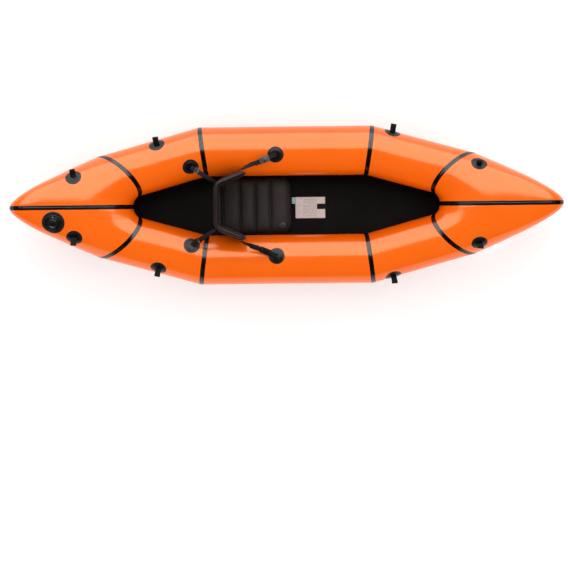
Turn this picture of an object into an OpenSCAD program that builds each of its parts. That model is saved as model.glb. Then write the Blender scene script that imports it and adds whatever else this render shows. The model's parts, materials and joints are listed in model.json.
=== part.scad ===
// One-person inflatable kayak: a welded fabric air tube, floor, seat, strapped backrest and skeg.
// Frame: +X to the bow, +Y to port, +Z up. Z = 0 is the underside of the floor, amidships.
// The hull is the same at both ends and on both sides, so each hull part is drawn once, at the
// fore port corner, and mirrored into the other corners.

/* [Hull] */
// Overall length
hull_length = 2450; // [2400:10:2500]
// Outside diameter of the air tubes
tube_d = 220; // [214:2:224]
// Distance between the centre lines of the two mid tubes
tube_spacing = 484; // [476:4:500]
// Length of the straight mid tubes along their centre lines
mid_length = 740; // [720:10:760]
// Angle that the quarter tubes turn inwards
quarter_yaw = 15.5; // [15:0.1:16]
// Angle that the quarter tubes rise towards the ends
quarter_rise = 0.7; // [0.5:0.1:1]
// Distance from a tip to the centre of its end ring seam
end_reach = 471; // [465:1:477]
// Thickness of the tube fabric
wall = 0.6; // [0.5:0.1:1]
// Thickness of the floor fabric
floor_t = 1; // [0.8:0.1:1.4]

/* [Seams and patches] */
// Width of the seam tape
tape_w = 20; // [16:1:24]
// Thickness of the seam tape
tape_t = 1; // [0.8:0.1:1]
// Diameter of the round patches under loops and straps
patch_d = 72; // [64:2:76]
// Thickness of the round patches
patch_t = 1.2; // [1:0.1:1.6]
// Width of the loop webbing
loop_w = 25; // [20:1:25]
// Height of a loop above its patch
loop_h = 34; // [30:1:38]

/* [Seat and backrest] */
// Length of the seat cushion
seat_l = 302; // [290:2:310]
// Width of the seat cushion
seat_w = 250; // [240:2:252]
// Height of the seat cushion
seat_h = 56; // [50:1:60]
// Width of the backrest across its rear corners
back_w = 230; // [220:2:234]
// Height of the backrest
back_h = 208; // [180:2:214]
// Thickness of the backrest padding
back_t = 22; // [18:1:24]
// Width of the backrest straps
strap_w = 20; // [18:1:20]

/* [Valve and skeg] */
// Diameter of the patch under the inflation valve
valve_patch_d = 100; // [92:2:104]
// Diameter of the valve cap
cap_d = 39; // [37:1:41]
// Depth of the skeg below the floor
skeg_depth = 60; // [50:1:64]
// Thickness of the skeg
skeg_t = 6.6; // [5:0.2:7]

/* [Hidden] */

$fn = 64;
far = 1600;                       // half the size of a cutting block
gap = 0.3;                        // clearance between soft pieces
tube_r = tube_d / 2;
axis_z = tube_r + floor_t;        // height of the mid tubes' centre lines
mid_x = mid_length / 2;
tube_y = tube_spacing / 2;
ring_x = hull_length / 2 - end_reach;

// Fore port quarter tube: direction, sideways and upward unit vectors, and its two end points
qa = [cos(quarter_yaw) * cos(quarter_rise), -sin(quarter_yaw) * cos(quarter_rise), sin(quarter_rise)];
qu = [sin(quarter_yaw), cos(quarter_yaw), 0];
qw = cross(qa, qu);
q0 = [mid_x, tube_y, axis_z];
quarter_l = (ring_x - mid_x) / qa.x;
q1 = q0 + qa * quarter_l;

// Planes of the mitre seam and of the end ring seam
mitre_n = unit([1, 0, 0] + qa);
ring_yaw = 44.5;
ring_tilt = 24;
ring_n = [cos(ring_tilt) * cos(ring_yaw), -cos(ring_tilt) * sin(ring_yaw), sin(ring_tilt)];

// Closed outline of an end in the centre plane, as [distance behind the tip, height above the floor],
// from the tip over the top, down into the cockpit's point and back along the bottom
end_outline = [
    [4, 190], [14, 252], [75, 279], [175, 281], [280, 279], [375, 270], [460, 238], [515, 190],
    [537, 130], [535, 65], [505, 20], [435, 3], [345, 1.5], [245, 1.5], [140, 9], [48, 66]
];
outline_n = len(end_outline);
ring_pull = 0.35;                 // how far an end bulges before it turns towards the centre plane
end_cols = 48;                    // steps round an end panel
end_rows = 11;                    // rows of points from the ring seam to the centre seam
facet = 360 / end_cols;
row_share = 1 / (end_rows - 1);

function unit(v) = v / norm(v);
function wrap(i) = (i + outline_n) % outline_n;

// Smooth outline point at an angle of 0 to 360 degrees
function outline_at(phi) =
    let (q = (phi + 720) % 360 * outline_n / 360, i = floor(q), f = q - i,
        a = end_outline[wrap(i - 1)], b = end_outline[wrap(i)],
        c = end_outline[wrap(i + 1)], d = end_outline[wrap(i + 2)])
    0.5 * (2 * b + (c - a) * f + (2 * a - 5 * b + 4 * c - d) * f * f + (3 * b - a - 3 * c + d) * f * f * f);

// The same outline in the hull's frame, moved outwards by off
function keel_at(phi, off = 0) =
    let (p = outline_at(phi), e = outline_at(phi + 1) - outline_at(phi - 1), n = unit([e[1], e[0]]))
    [hull_length / 2 - p[0] + off * n[0], 0, p[1] + off * n[1]];

// Where a line along the quarter tube at angle phi meets the end ring seam
function ring_at(phi, r = tube_r) =
    let (v = r * (cos(phi) * qu + sin(phi) * qw))
    q1 + v - qa * ((v * ring_n) / (qa * ring_n));

function bulge(phi) = 56 + 18 * cos(phi) + 15 * sin(phi) - 19 * cos(2 * phi);

// The end panel: t runs from the ring seam (0) to the centre seam (1)
function end_at(t, phi, off = 0) =
    let (r = ring_at(phi, tube_r + off), e = keel_at(phi, off), p2 = e + [0, bulge(phi), 0],
        p1 = r + ring_pull * (p2 - r), s = 1 - t)
    s * s * s * r + 3 * s * s * t * p1 + 3 * s * t * t * p2 + t * t * t * e;

// Point half a tape's width from the seam at t, on the panel's first facet towards the row at t_next
function beside_seam(t, t_next, phi, off) =
    let (a = end_at(t, phi, off), d = end_at(t_next, phi, off) - a)
    a + unit(d) * tape_w / 2;

// Point on the quarter tube, s along its centre line
function quarter_at(s, phi, r = tube_r) = q0 + qa * s + r * (cos(phi) * qu + sin(phi) * qw);

// Frame of the end panel's surface at t, phi: along t, across, outward, both slopes and the point
function end_frame(t, phi) =
    let (e = 0.001, st = (end_at(t + e, phi) - end_at(t - e, phi)) / 2 / e,
        sp = (end_at(t, phi + 0.5) - end_at(t, phi - 0.5)), n = unit(cross(sp, st)),
        u = unit(st))
    [u, cross(n, u), n, st, sp, end_at(t, phi)];

// Surface place [t, angle] whose shadow in the tangent plane of frame f is closest to the vector v
function end_place(t, phi, f, v, steps) =
    steps == 0 ? [t, phi] :
    let (miss = v - (end_at(t, phi) - f[5]), g = f[3] * f[4], d = (f[3] * f[3]) * (f[4] * f[4]) - g * g,
        dt = ((miss * f[3]) * (f[4] * f[4]) - (miss * f[4]) * g) / d,
        dp = ((miss * f[4]) * (f[3] * f[3]) - (miss * f[3]) * g) / d)
    end_place(t + dt, phi + dp, f, v, steps - 1);
// Surface point at the offset (a, b) in the tangent plane of frame f
function end_near(t, phi, f, a, b, off) =
    let (place = end_place(t, phi, f, a * f[0] + b * f[1], 7))
    end_at(place[0], place[1], off);

// Quads between rows of a closed grid; closed sideways when wrap_cols is true
function grid_faces(rows, cols, wrap_cols) = [
    for (i = [0:rows - 2], j = [0:cols - (wrap_cols ? 1 : 2)])
        let (k = (j + 1) % cols, a = i * cols + j, b = i * cols + k, c = (i + 1) * cols + k,
            d = (i + 1) * cols + j)
        each [[a, b, c], [a, c, d]]
];
function flipped(faces) = [for (f = faces) [f[2], f[1], f[0]]];
function raised(faces, n) = [for (f = faces) [for (i = f) i + n]];

// Thin solid between an outer and an inner grid of the same size
module skin(outer, inner, rows, cols, closed) {
    n = rows * cols;
    last = closed ? cols - 1 : cols - 2;
    rims = [
        for (j = [0:last]) let (k = (j + 1) % cols) each [[j, n + j, n + k], [j, n + k, k]]
    ];
    top = (rows - 1) * cols;
    far_rims = [
        for (j = [0:last]) let (k = (j + 1) % cols)
            each [[top + j, top + k, n + top + k], [top + j, n + top + k, n + top + j]]
    ];
    sides = closed ? [] : [
        for (i = [0:rows - 2])
            let (a = i * cols, b = a + cols, c = a + cols - 1, d = c + cols)
            each [[a, b, n + b], [a, n + b, n + a], [c, n + c, n + d], [c, n + d, d]]
    ];
    faces = concat(grid_faces(rows, cols, closed), raised(flipped(grid_faces(rows, cols, closed)), n),
        rims, far_rims, sides);
    polyhedron(points = concat(outer, inner), faces = faces, convexity = 10);
}

// Draws the fore port part in another corner; ends and sides are 1 or -1
module corner(end, side) {
    if (end < 0) mirror([1, 0, 0]) corner(1, side) children();
    else if (side < 0) mirror([0, 1, 0]) children();
    else children();
}
module both_sides() {
    for (side = [1, -1]) corner(1, side) children();
}
module four_corners() {
    for (end = [1, -1], side = [1, -1]) corner(end, side) children();
}

// Turns +X onto a direction
module along(v) {
    rotate([0, -asin(v.z / norm(v)), atan2(v.y, v.x)]) children();
}
// Turns +Z onto a direction
module facing(v) {
    rotate([0, acos(v.z / norm(v)), atan2(v.y, v.x)]) children();
}
// Everything behind the plane through p with normal n
module behind(p, n) {
    translate(p) along(n) translate([-2 * far, -far, -far]) cube(2 * far);
}
// Solid rod from a point along +X of a direction
module rod(p, v, from, to, r) {
    translate(p) along(v) translate([from, 0, 0]) rotate([0, 90, 0]) cylinder(r = r, h = to - from);
}
module pipe(p, v, from, to, outer, inner) {
    difference() {
        rod(p, v, from, to, outer);
        rod(p, v, from - 1, to + 1, inner);
    }
}
// Box given by its low and high corners
module block(low, high) {
    translate(low) cube(high - low);
}

/* ---- Air tubes ---- */

orange = "orangered";
black = "#1c1c1e";
run_out = 180;                    // extra tube length that the seam planes trim away

module mid_panel() {
    color(orange) intersection() {
        pipe([0, tube_y, axis_z], [1, 0, 0], -mid_x - run_out, mid_x + run_out, tube_r, tube_r - wall);
        behind(q0, mitre_n);
        mirror([1, 0, 0]) behind(q0, mitre_n);
    }
}

module quarter_panel() {
    color(orange) difference() {
        intersection() {
            pipe(q0, qa, -run_out, quarter_l + run_out, tube_r, tube_r - wall);
            behind(q1, ring_n);
        }
        behind(q0, mitre_n);
    }
}

function end_grid(off) = [
    for (i = [0:end_rows - 1], j = [0:end_cols - 1]) end_at(i * row_share, j * facet, off)
];
module end_panel() {
    color(orange) skin(end_grid(0), end_grid(-wall), end_rows, end_cols, true);
}

/* ---- Seam tapes ---- */

tape_from = -60;                  // the floor covers the tapes outside this arc
tape_to = 255;
tape_clear = 0.55;                // glue line under tapes, strips and patches

// Tapes share the end panels' steps round the tube
ring_steps = (tape_to - tape_from) / facet;
function tape_phi(j) = tape_from + facet * j;
// Where a line along the mid tube at angle phi meets the mitre seam
function mitre_at(phi, r) =
    let (v = r * [0, cos(phi), sin(phi)])
    q0 + v - [(v * mitre_n) / mitre_n.x, 0, 0];
function mid_tape_grid(off) = [
    for (step = [[-1, 0, 0], [0, 0, 0], qa], j = [0:ring_steps])
        mitre_at(tape_phi(j), tube_r + off) + step * tape_w / 2
];
module mid_ring_tape() {
    color(black)
        skin(mid_tape_grid(tape_t), mid_tape_grid(tape_clear), 3, ring_steps + 1, false);
}

function ring_tape_grid(off) = [
    for (i = [-1:1], j = [0:ring_steps])
        let (phi = tape_phi(j))
        i < 0 ? ring_at(phi, tube_r + off) - qa * tape_w / 2
            : i == 0 ? end_at(0, phi, off) : beside_seam(0, row_share, phi, off)
];
module end_ring_tape() {
    color(black)
        skin(ring_tape_grid(tape_t), ring_tape_grid(tape_clear), 3, ring_steps + 1, false);
}

keel_from = -6 * facet;
keel_to = 29 * facet;
keel_steps = (keel_to - keel_from) / facet;
function keel_grid(off) = [
    for (i = [-1:1], j = [0:keel_steps])
        let (phi = keel_from + facet * j, p = beside_seam(1, 1 - row_share, phi, off))
        i == 0 ? keel_at(phi, off) : [p.x, -i * p.y, p.z]
];
module centre_tape() {
    color(black) skin(keel_grid(tape_t), keel_grid(tape_clear), 3, keel_steps + 1, false);
}

/* ---- Floor ---- */

floor_phi = 275;                  // where the flat floor leaves the tube's underside
floor_sweep = 38;                 // how much further round it does so at the tip
strip_arc = 20;                   // arc that the floor fabric wraps up the tube

function flat(p) = [p.x, p.y];
function floor_half() = [
    for (s = [0, 0.5]) flat(quarter_at(quarter_l * s, floor_phi)),
    for (t = [0:0.2:1]) flat(end_at(t, floor_phi + floor_sweep * t))
];
function reversed(v) = [for (i = [len(v) - 1:-1:0]) v[i]];
function scaled(points, x, y) = [for (p = points) [p.x * x, p.y * y]];
floor_seam_x = -860;              // the floor's cross seam, ahead of the skeg
module floor_part(from, to) {
    half = floor_half();
    back = reversed([for (i = [0:len(half) - 2]) half[i]]);
    color(black) linear_extrude(floor_t) intersection() {
        polygon(concat(scaled(half, 1, 1), scaled(back, 1, -1), scaled(half, -1, -1), scaled(back, -1, 1)));
        translate([from, -far]) square([to - from, 2 * far]);
    }
}
module floor_sheet() {
    floor_part(floor_seam_x, far);
}
module floor_stern_sheet() {
    floor_part(-far, floor_seam_x);
}

strip_cols = 7;
strip_lift = 2;                   // arc left clear between the flat floor and the wrap
strip_tip_arc = 1;                // arc of the wrap that is left at the tips
function strip_phi(j, t = 0) =
    let (arc = strip_arc + (strip_tip_arc - strip_arc) * t)
    floor_phi + floor_sweep * t + strip_lift + arc * j / (strip_cols - 1);
function strip_end_row(t, off) = [for (j = [0:strip_cols - 1]) end_at(t, strip_phi(j, t), off)];
function strip_tube_row(s, off) = [for (j = [0:strip_cols - 1]) quarter_at(s, strip_phi(j), tube_r + off)];
function strip_seam_row(off) = [for (j = [0:strip_cols - 1]) mitre_at(strip_phi(j), tube_r + off)];
function strip_half(off) = concat(
    [strip_seam_row(off)],
    [for (s = [0.5, 0.97]) strip_tube_row(quarter_l * s, off)],
    [for (t = [0.02:0.07:0.93]) strip_end_row(t, off)]
);
function strip_rows(off) =
    let (half = strip_half(off))
    concat([for (row = reversed(half)) [for (p = row) [-p.x, p.y, p.z]]], half);
module floor_edge() {
    outer = strip_rows(tape_t);
    inner = strip_rows(tape_clear);
    color(black)
        skin([for (row = outer) each row], [for (row = inner) each row], len(outer), strip_cols, false);
}

/* ---- Patches and loops ---- */

aft_quarter_loop = [188, 39];     // [distance along the quarter tube, angle round it]
fore_quarter_loop = [80, 22];
aft_strap_at = [70, 119];
fore_strap_at = [-47, 100];       // [x, angle round the mid tube]
stern_loop = [0.41, 56];          // [t, angle] on an end panel
bow_loop = [0.19, 50];
valve_at = [0.73, 64.5];

function quarter_normal(phi) = cos(phi) * qu + sin(phi) * qw;

// Disc that follows the quarter tube
module quarter_patch(place, d) {
    intersection() {
        pipe(q0, qa, -run_out, quarter_l, tube_r + patch_t, tube_r + tape_clear);
        translate(quarter_at(place[0], place[1]) - quarter_normal(place[1]) * d / 2)
            facing(quarter_normal(place[1])) cylinder(d = d, h = d);
    }
}
// Disc that follows the mid tube
module mid_patch(place, d) {
    n = [0, cos(place[1]), sin(place[1])];
    intersection() {
        pipe([0, tube_y, axis_z], [1, 0, 0], -mid_x, mid_x, tube_r + patch_t, tube_r + tape_clear);
        translate([place[0], tube_y, axis_z] + n * tube_r / 2) facing(n) cylinder(d = d, h = tube_r);
    }
}

patch_rings = 4;
patch_spokes = 28;
patch_hub = 0.04;                 // the innermost ring's share of the radius
function end_patch_grid(place, d, off) =
    let (f = end_frame(place[0], place[1]))
    [
        for (i = [0:patch_rings - 1], j = [0:patch_spokes - 1])
            let (r = d / 2 * (patch_hub + (1 - patch_hub) * i / (patch_rings - 1)))
            let (a = -j * 360 / patch_spokes)
            end_near(place[0], place[1], f, r * cos(a), r * sin(a), off)
    ];
// Disc that follows an end panel, with a pinhole at its middle
module end_patch(place, d) {
    skin(end_patch_grid(place, d, patch_t), end_patch_grid(place, d, tape_clear),
        patch_rings, patch_spokes, true);
}

webbing_t = 1.6;
loop_gap = 9;                     // inside width of a loop

// Loop of webbing that stands on the origin, open along X
module loop() {
    outer = loop_gap + 2 * webbing_t;
    top = loop_h - outer / 2;
    color(black) translate([loop_w / 2, 0, 0]) rotate([0, -90, 0]) linear_extrude(loop_w) difference() {
        union() {
            translate([0, -outer / 2]) square([top, outer]);
            translate([top, 0]) circle(d = outer);
        }
        union() {
            translate([webbing_t, -loop_gap / 2]) square([top - webbing_t, loop_gap]);
            translate([top, 0]) circle(d = loop_gap);
        }
    }
}
// A loop at p, leaning outwards by roll
module loop_at(p, n, roll) {
    foot = patch_t + 3.8;
    translate(p + n * foot) rotate([-roll, 0, 0]) loop();
}

module webbing_loops() {
    both_sides() {
        corner(1, 1) loop_at(quarter_at(fore_quarter_loop[0], fore_quarter_loop[1]),
            quarter_normal(fore_quarter_loop[1]), 62);
        corner(-1, 1) loop_at(quarter_at(aft_quarter_loop[0], aft_quarter_loop[1]),
            quarter_normal(aft_quarter_loop[1]), 48);
        corner(1, 1) loop_at(end_at(bow_loop[0], bow_loop[1]), end_frame(bow_loop[0], bow_loop[1])[2], 30);
        corner(-1, 1) loop_at(end_at(stern_loop[0], stern_loop[1]),
            end_frame(stern_loop[0], stern_loop[1])[2], 40);
    }
}

module quarter_loop_patches() {
    color(black) both_sides() {
        corner(1, 1) quarter_patch(fore_quarter_loop, patch_d);
        corner(-1, 1) quarter_patch(aft_quarter_loop, patch_d);
    }
}
module end_loop_patches() {
    color(black) both_sides() {
        corner(1, 1) end_patch(bow_loop, patch_d);
        corner(-1, 1) end_patch(stern_loop, patch_d);
    }
}
module strap_patches() {
    color(black) both_sides() {
        mid_patch(fore_strap_at, patch_d);
        corner(-1, 1) quarter_patch(aft_strap_at, patch_d);
    }
}

/* ---- Inflation valve ---- */

neck_r = 19;                      // outside of the valve neck
bore_r = 15.5;                    // threaded bore of the neck
insert_r = 15.2;
throat_r = 11;
neck_top = 9;
neck_foot = -14;
collar_top = 11.5;
grip_n = 12;

// Places a piece drawn round +Z on the valve's axis
module on_valve() {
    p = end_at(valve_at[0], valve_at[1]);
    n = end_frame(valve_at[0], valve_at[1])[2];
    corner(-1, -1) translate(p) facing(n) children();
}
module ring(outer, inner, low, high) {
    translate([0, 0, low]) difference() {
        cylinder(r = outer, h = high - low);
        translate([0, 0, -1]) cylinder(r = inner, h = high - low + 2);
    }
}

module valve_patch() {
    color(black) corner(-1, -1) end_patch(valve_at, valve_patch_d);
}
module valve_base() {
    color(black) on_valve() union() {
        ring(neck_r + 8, bore_r, 1.5, 4.5);
        ring(neck_r, bore_r, neck_foot, neck_top);
    }
}
module valve_insert() {
    spider_n = 3;
    color("#2a2a2c") on_valve() union() {
        ring(insert_r, throat_r, neck_foot + 2, neck_top);
        ring(throat_r + 1.5, throat_r, neck_top - 1, collar_top);
        ring(neck_r, throat_r, neck_top + 0.1, collar_top);
        intersection() {
            translate([0, 0, neck_foot + 2]) cylinder(r = throat_r + 1, h = 2);
            for (i = [0:spider_n - 1])
                rotate(i * 180 / spider_n) translate([-neck_r, -1, neck_foot]) cube([2 * neck_r, 2, 6]);
        }
    }
}
module valve_flap() {
    color("dimgray") on_valve() translate([0, 0, neck_foot + 0.5]) cylinder(r = 13, h = 1.2);
}
module valve_cap() {
    color(black) on_valve() difference() {
        union() {
            translate([0, 0, 4]) cylinder(r = throat_r - 0.4, h = collar_top - 3);
            translate([0, 0, collar_top + 0.1]) cylinder(r = throat_r + 3, h = 3);
            translate([0, 0, collar_top + 3]) cylinder(d = cap_d, h = 10);
        }
        for (i = [0:grip_n - 1])
            rotate(i * 360 / grip_n) translate([cap_d / 2 + 0.6, 0, collar_top + 2])
                cylinder(r = 1.6, h = 12);
        translate([0, 0, 3]) cylinder(r = throat_r - 3, h = collar_top - 1);
        translate([0, 0, collar_top + 11.5]) ring(cap_d / 2 - 6, cap_d / 2 - 9, 0, 3);
    }
}
module cap_ring() {
    color("#2a2a2c") on_valve() difference() {
        union() {
            translate([0, 0, collar_top + 0.5]) cylinder(r = throat_r + 6.5, h = 1.8);
            translate([-neck_r - 8, -4, collar_top + 0.5]) cube([12, 8, 1.8]);
        }
        translate([0, 0, collar_top]) cylinder(r = throat_r + 3.3, h = 3);
    }
}
module cap_tether() {
    x = neck_r + 8;
    color("#2a2a2c") on_valve() difference() {
        translate([-x, 3, 8.2]) rotate([90, 0, 0]) cylinder(r = 5.5, h = 6);
        translate([-x, 4, 8.2]) rotate([90, 0, 0]) cylinder(r = 3.7, h = 8);
        block([-x, -5, -20], [0, 5, 30]);
    }
}

/* ---- Seat ---- */

seat_x = 14;                      // front edge of the seat
seat_floor = floor_t + 1.6;
channel_first = 77;               // from the rear edge to the first sewn channel
channel_pitch = 69;
channel_n = 3;

module rounded_plate(low, high, r) {
    translate([0, 0, low.z]) linear_extrude(high.z - low.z) union() {
        translate([low.x + r, low.y]) square([high.x - low.x - 2 * r, high.y - low.y]);
        translate([low.x, low.y + r]) square([high.x - low.x, high.y - low.y - 2 * r]);
        for (x = [low.x + r, high.x - r], y = [low.y + r, high.y - r]) translate([x, y]) circle(r);
    }
}

module seat_cushion() {
    groove_r = 16;
    color(black) difference() {
        rounded_plate([seat_x - seat_l, -seat_w / 2, seat_floor],
            [seat_x, seat_w / 2, seat_floor + seat_h], 42);
        for (i = [0:channel_n - 1])
            translate([seat_x - seat_l + channel_first + i * channel_pitch, seat_w / 2 + 1,
                seat_floor + seat_h + groove_r - 4])
                rotate([90, 0, 0]) cylinder(r = groove_r, h = seat_w + 2);
        translate([seat_x - 34, -seat_w / 2 + 34, seat_floor + seat_h - 8]) cylinder(r = 9, h = 20);
    }
}
module seat_grip_strips() {
    color(black) for (x = [-230, -60])
        translate([x, -90, floor_t + 0.1]) cube([40, 180, 1.4]);
}
module seat_valve_place() {
    translate([seat_x - 34, -seat_w / 2 + 34, seat_floor + seat_h - 8]) children();
}
module seat_valve() {
    color(black) seat_valve_place() ring(8.5, 4.2, 0.1, 7);
}
module valve_nozzle() {
    difference() {
        union() {
            translate([0, 0, 1]) cylinder(r = 3.9, h = 8);
            translate([0, 0, 7.3]) cylinder(r = 6, h = 6);
        }
        cylinder(r = 1.6, h = 20);
    }
}
module seat_valve_nozzle() {
    color("#2a2a2c") seat_valve_place() valve_nozzle();
}

/* ---- Backrest ---- */

back_x = -318;                    // rear face of the backrest
back_low = 104;                   // its lower edge
back_r = 40;                      // outside radius of its corners
back_half = back_w / 2 - back_r;  // half width of its straight rear part
wing_yaw = 22;                    // the wings splay out over the tubes by this angle
wing_l = 115;
band_z = 252;                     // lower edge of the webbing band round it
band_t = 1.6;
back_hub = [back_x + back_r, back_half];

// Port half of a line that follows the pad's outer face in plan, off outside it, with wings of length l
bend_steps = 12;
function back_line(off, l) =
    let (r = back_r + off, u = [cos(wing_yaw), sin(wing_yaw)], n = [-u.y, u.x])
    concat([back_hub + r * n + l * u], [
        for (i = [0:bend_steps])
            let (a = 90 + wing_yaw + (90 - wing_yaw) * i / bend_steps)
            back_hub + r * [cos(a), sin(a)]
    ]);
function back_whole(off, l) =
    concat(back_line(off, l), [for (p = reversed(back_line(off, l))) [p.x, -p.y]]);

// Upright layer of the bent pad between two such lines
module back_shell(outer, inner, low, high, l) {
    translate([0, 0, low]) linear_extrude(high - low)
        polygon(concat(back_whole(outer, l), reversed(back_whole(inner, l))));
}

module backrest_pad() {
    // Side view of what is cut away below the wings, from the corner to the tip
    under = [[8, 0], [41, 56], [100, 90], [110, 90], [110, -1], [8, -1]];
    color(black) difference() {
        back_shell(0, -back_t, back_low, back_low + back_h, wing_l);
        translate([back_hub.x, far, back_low]) rotate([90, 0, 0]) linear_extrude(2 * far) polygon(under);
        back_valve_place() cylinder(r = 9, h = 20);
    }
}
module backrest_piping() {
    r = 3;
    bend = back_r - back_t / 2;
    cut = 0.1;                    // between the straight lengths and the bends
    color("#2a2a2c") translate([0, 0, back_low + back_h + r]) union() {
        translate([back_x + back_t / 2, cut - back_half, 0]) rotate([-90, 0, 0])
            cylinder(r = r, h = 2 * (back_half - cut));
        for (m = [0, 1]) mirror([0, m]) translate(back_hub) {
            rotate(wing_yaw) translate([cut, bend, 0]) rotate([0, 90, 0]) cylinder(r = r, h = wing_l - 2);
            rotate(90 + wing_yaw) rotate_extrude(angle = 90 - wing_yaw) translate([bend, 0]) circle(r);
        }
    }
}
module backrest_band() {
    color(black) back_shell(gap + band_t, gap, band_z, band_z + strap_w, wing_l - 6);
}
module back_valve_place() {
    translate([back_x + 9, 40, back_low + 50]) rotate([0, -90, 0]) children();
}
module backrest_valve() {
    color(black) back_valve_place() ring(8.5, 4.2, 0.1, 7);
}
module backrest_valve_nozzle() {
    color("#2a2a2c") back_valve_place() valve_nozzle();
}

/* ---- Straps and buckles ---- */

strap_t = 1.6;
fore_n = [0, cos(fore_strap_at[1]), sin(fore_strap_at[1])];
fore_p = [fore_strap_at[0], tube_y, axis_z] + fore_n * tube_r;
strap_off = back_r + 6.5;         // where the straps meet the band, from the corner's centre
strap_z = band_z + strap_w / 2;
function back_at(a, ahead) =
    let (p = back_hub + strap_off * [cos(a), sin(a)] + ahead * [cos(wing_yaw), sin(wing_yaw)])
    [p.x, p.y, strap_z];
pad_fore = back_at(90 + wing_yaw, wing_l - 14);
fore_v = pad_fore - fore_p;
aft_p = quarter_at(aft_strap_at[0], aft_strap_at[1]);
pad_aft = back_at(140, 0);
// The aft strap runs from its patch, in the mirrored fore corner, to the back of the band
aft_v = [-pad_aft.x, pad_aft.y, pad_aft.z] - aft_p;

// Draws along the strap from its patch: +X along the strap, +Z away from the tube
module on_fore_strap() {
    translate(fore_p) along(fore_v) children();
}
module on_aft_strap() {
    corner(-1, 1) translate(aft_p) along(aft_v) children();
}

// Flat ribbon through points, each [x, y, z, roll]; the ribbon is level at roll 0
function ribbon_side(roll, w) = [0, cos(roll), sin(roll)] * w / 2;
function ribbon_up(roll) = [0, -sin(roll), cos(roll)];
function ribbon_grid(path, w, lift) = [
    for (p = path, s = [-1, 1])
        [p[0], p[1], p[2]] + s * ribbon_side(p[3], w) + lift * ribbon_up(p[3])
];
module ribbon(path, w, t) {
    skin(ribbon_grid(path, w, -t / 2), ribbon_grid(path, w, t / 2), len(path), 2, false);
}

tab_from = -2;
tab_to = 33;
tab_z = 4.4;
aft_tab_from = 4;
aft_tab_to = 25;
socket_l = 27;
buckle_w = 28;
buckle_t = 9;
buckle_z = 4;                     // middle of the buckle above the strap's line
plug_at = tab_to + socket_l + 2;
plug_l = 19;
prong_l = 20;

module anchor_tab(from, to) {
    block([from, -strap_w / 2, tab_z], [to, strap_w / 2, tab_z + strap_t]);
}
module strap_anchor_tabs() {
    color(black) both_sides() {
        on_fore_strap() anchor_tab(tab_from, tab_to);
        on_aft_strap() anchor_tab(aft_tab_from, aft_tab_to);
    }
}
// Socket half of a side-release buckle, open towards the strap and at both sides
module buckle_socket() {
    translate([tab_to + 0.5, 0, buckle_z]) difference() {
        translate([0, -buckle_w / 2, -buckle_t / 2]) cube([socket_l, buckle_w, buckle_t]);
        translate([8, -buckle_w / 2 + 2.5, -3]) cube([socket_l, buckle_w - 5, 6]);
        translate([12, -buckle_w, -3]) cube([8, 2 * buckle_w, 6]);
    }
}
module fore_buckle_sockets() {
    color("#2a2a2c") both_sides() on_fore_strap() buckle_socket();
}
// Plug half: a webbing frame, two side prongs and a middle guide
module buckle_plug() {
    translate([plug_at, 0, buckle_z]) union() {
        difference() {
            translate([0, -buckle_w / 2, -buckle_t / 2]) cube([plug_l, buckle_w, buckle_t]);
            translate([8, -strap_w / 2 - 0.6, -buckle_t]) cube([4, strap_w + 1.2, 2 * buckle_t]);
        }
        translate([-prong_l, -1.5, -2]) cube([prong_l, 3, 4]);
        for (s = [1, -1]) translate([-prong_l, s * 8.5 - 1.6, -2]) cube([prong_l, 3.2, 4]);
    }
}
module fore_buckle_plug() {
    color(black) on_fore_strap() buckle_plug();
}

lead_from = plug_at + 10;
lead_to = lead_from + 28;
module fore_lead() {
    z = buckle_z - buckle_t / 2 - 1.2;
    color(black) on_fore_strap()
        block([lead_from, -strap_w / 2, z - strap_t], [lead_to, strap_w / 2, z]);
}
module fore_strap() {
    l = norm(fore_v);
    from = plug_at + plug_l + 3;
    color(black) on_fore_strap() ribbon([
        for (i = [0:8])
            let (f = i / 8, x = from + (l - from) * f)
            [x, -2 * sin(180 * f), buckle_z - 3 * sin(180 * f) - buckle_z * f, 82 * pow(f, 1.3)]
    ], strap_w, strap_t);
}
module aft_straps() {
    l = norm(aft_v);
    from = tab_to + 18;
    color(black) both_sides() on_aft_strap() ribbon([
        for (i = [0:6])
            let (f = i / 6, x = from + (l - from) * f)
            [x, 0, 4.5 - 4.5 * f + 6 * sin(180 * f), -74 * pow(f, 2)]
    ], strap_w, strap_t);
}
// Ladder buckle: a frame with two slots for the webbing
module aft_buckles() {
    color("#2a2a2c") both_sides() on_aft_strap() translate([tab_to - 6, -buckle_w / 2, 1.6]) difference() {
        cube([22, buckle_w, 5.4]);
        for (x = [4, 13]) translate([x, (buckle_w - strap_w) / 2 - 0.5, -1]) cube([5, strap_w + 1, 8]);
    }
}

/* ---- Skeg ---- */

base_back = -1036;
base_front = -868;
base_t = 8;
base_w = 50;
slot_front = -882;
rail_w = 20;
rail_t = 2.6;
skeg_back = -1030;
skeg_front = -890;
slot_gap = 0.35;

module skeg_base() {
    color("#2a2a2c") difference() {
        block([base_back, -base_w / 2, -base_t], [base_front, base_w / 2, 0]);
        block([base_back - 1, -rail_w / 2 - slot_gap, -5.3], [slot_front, rail_w / 2 + slot_gap, -2]);
        block(
            [base_back - 1, -skeg_t / 2 - slot_gap, -base_t - 1],
            [slot_front, skeg_t / 2 + slot_gap, -4]
        );
    }
}
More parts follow.
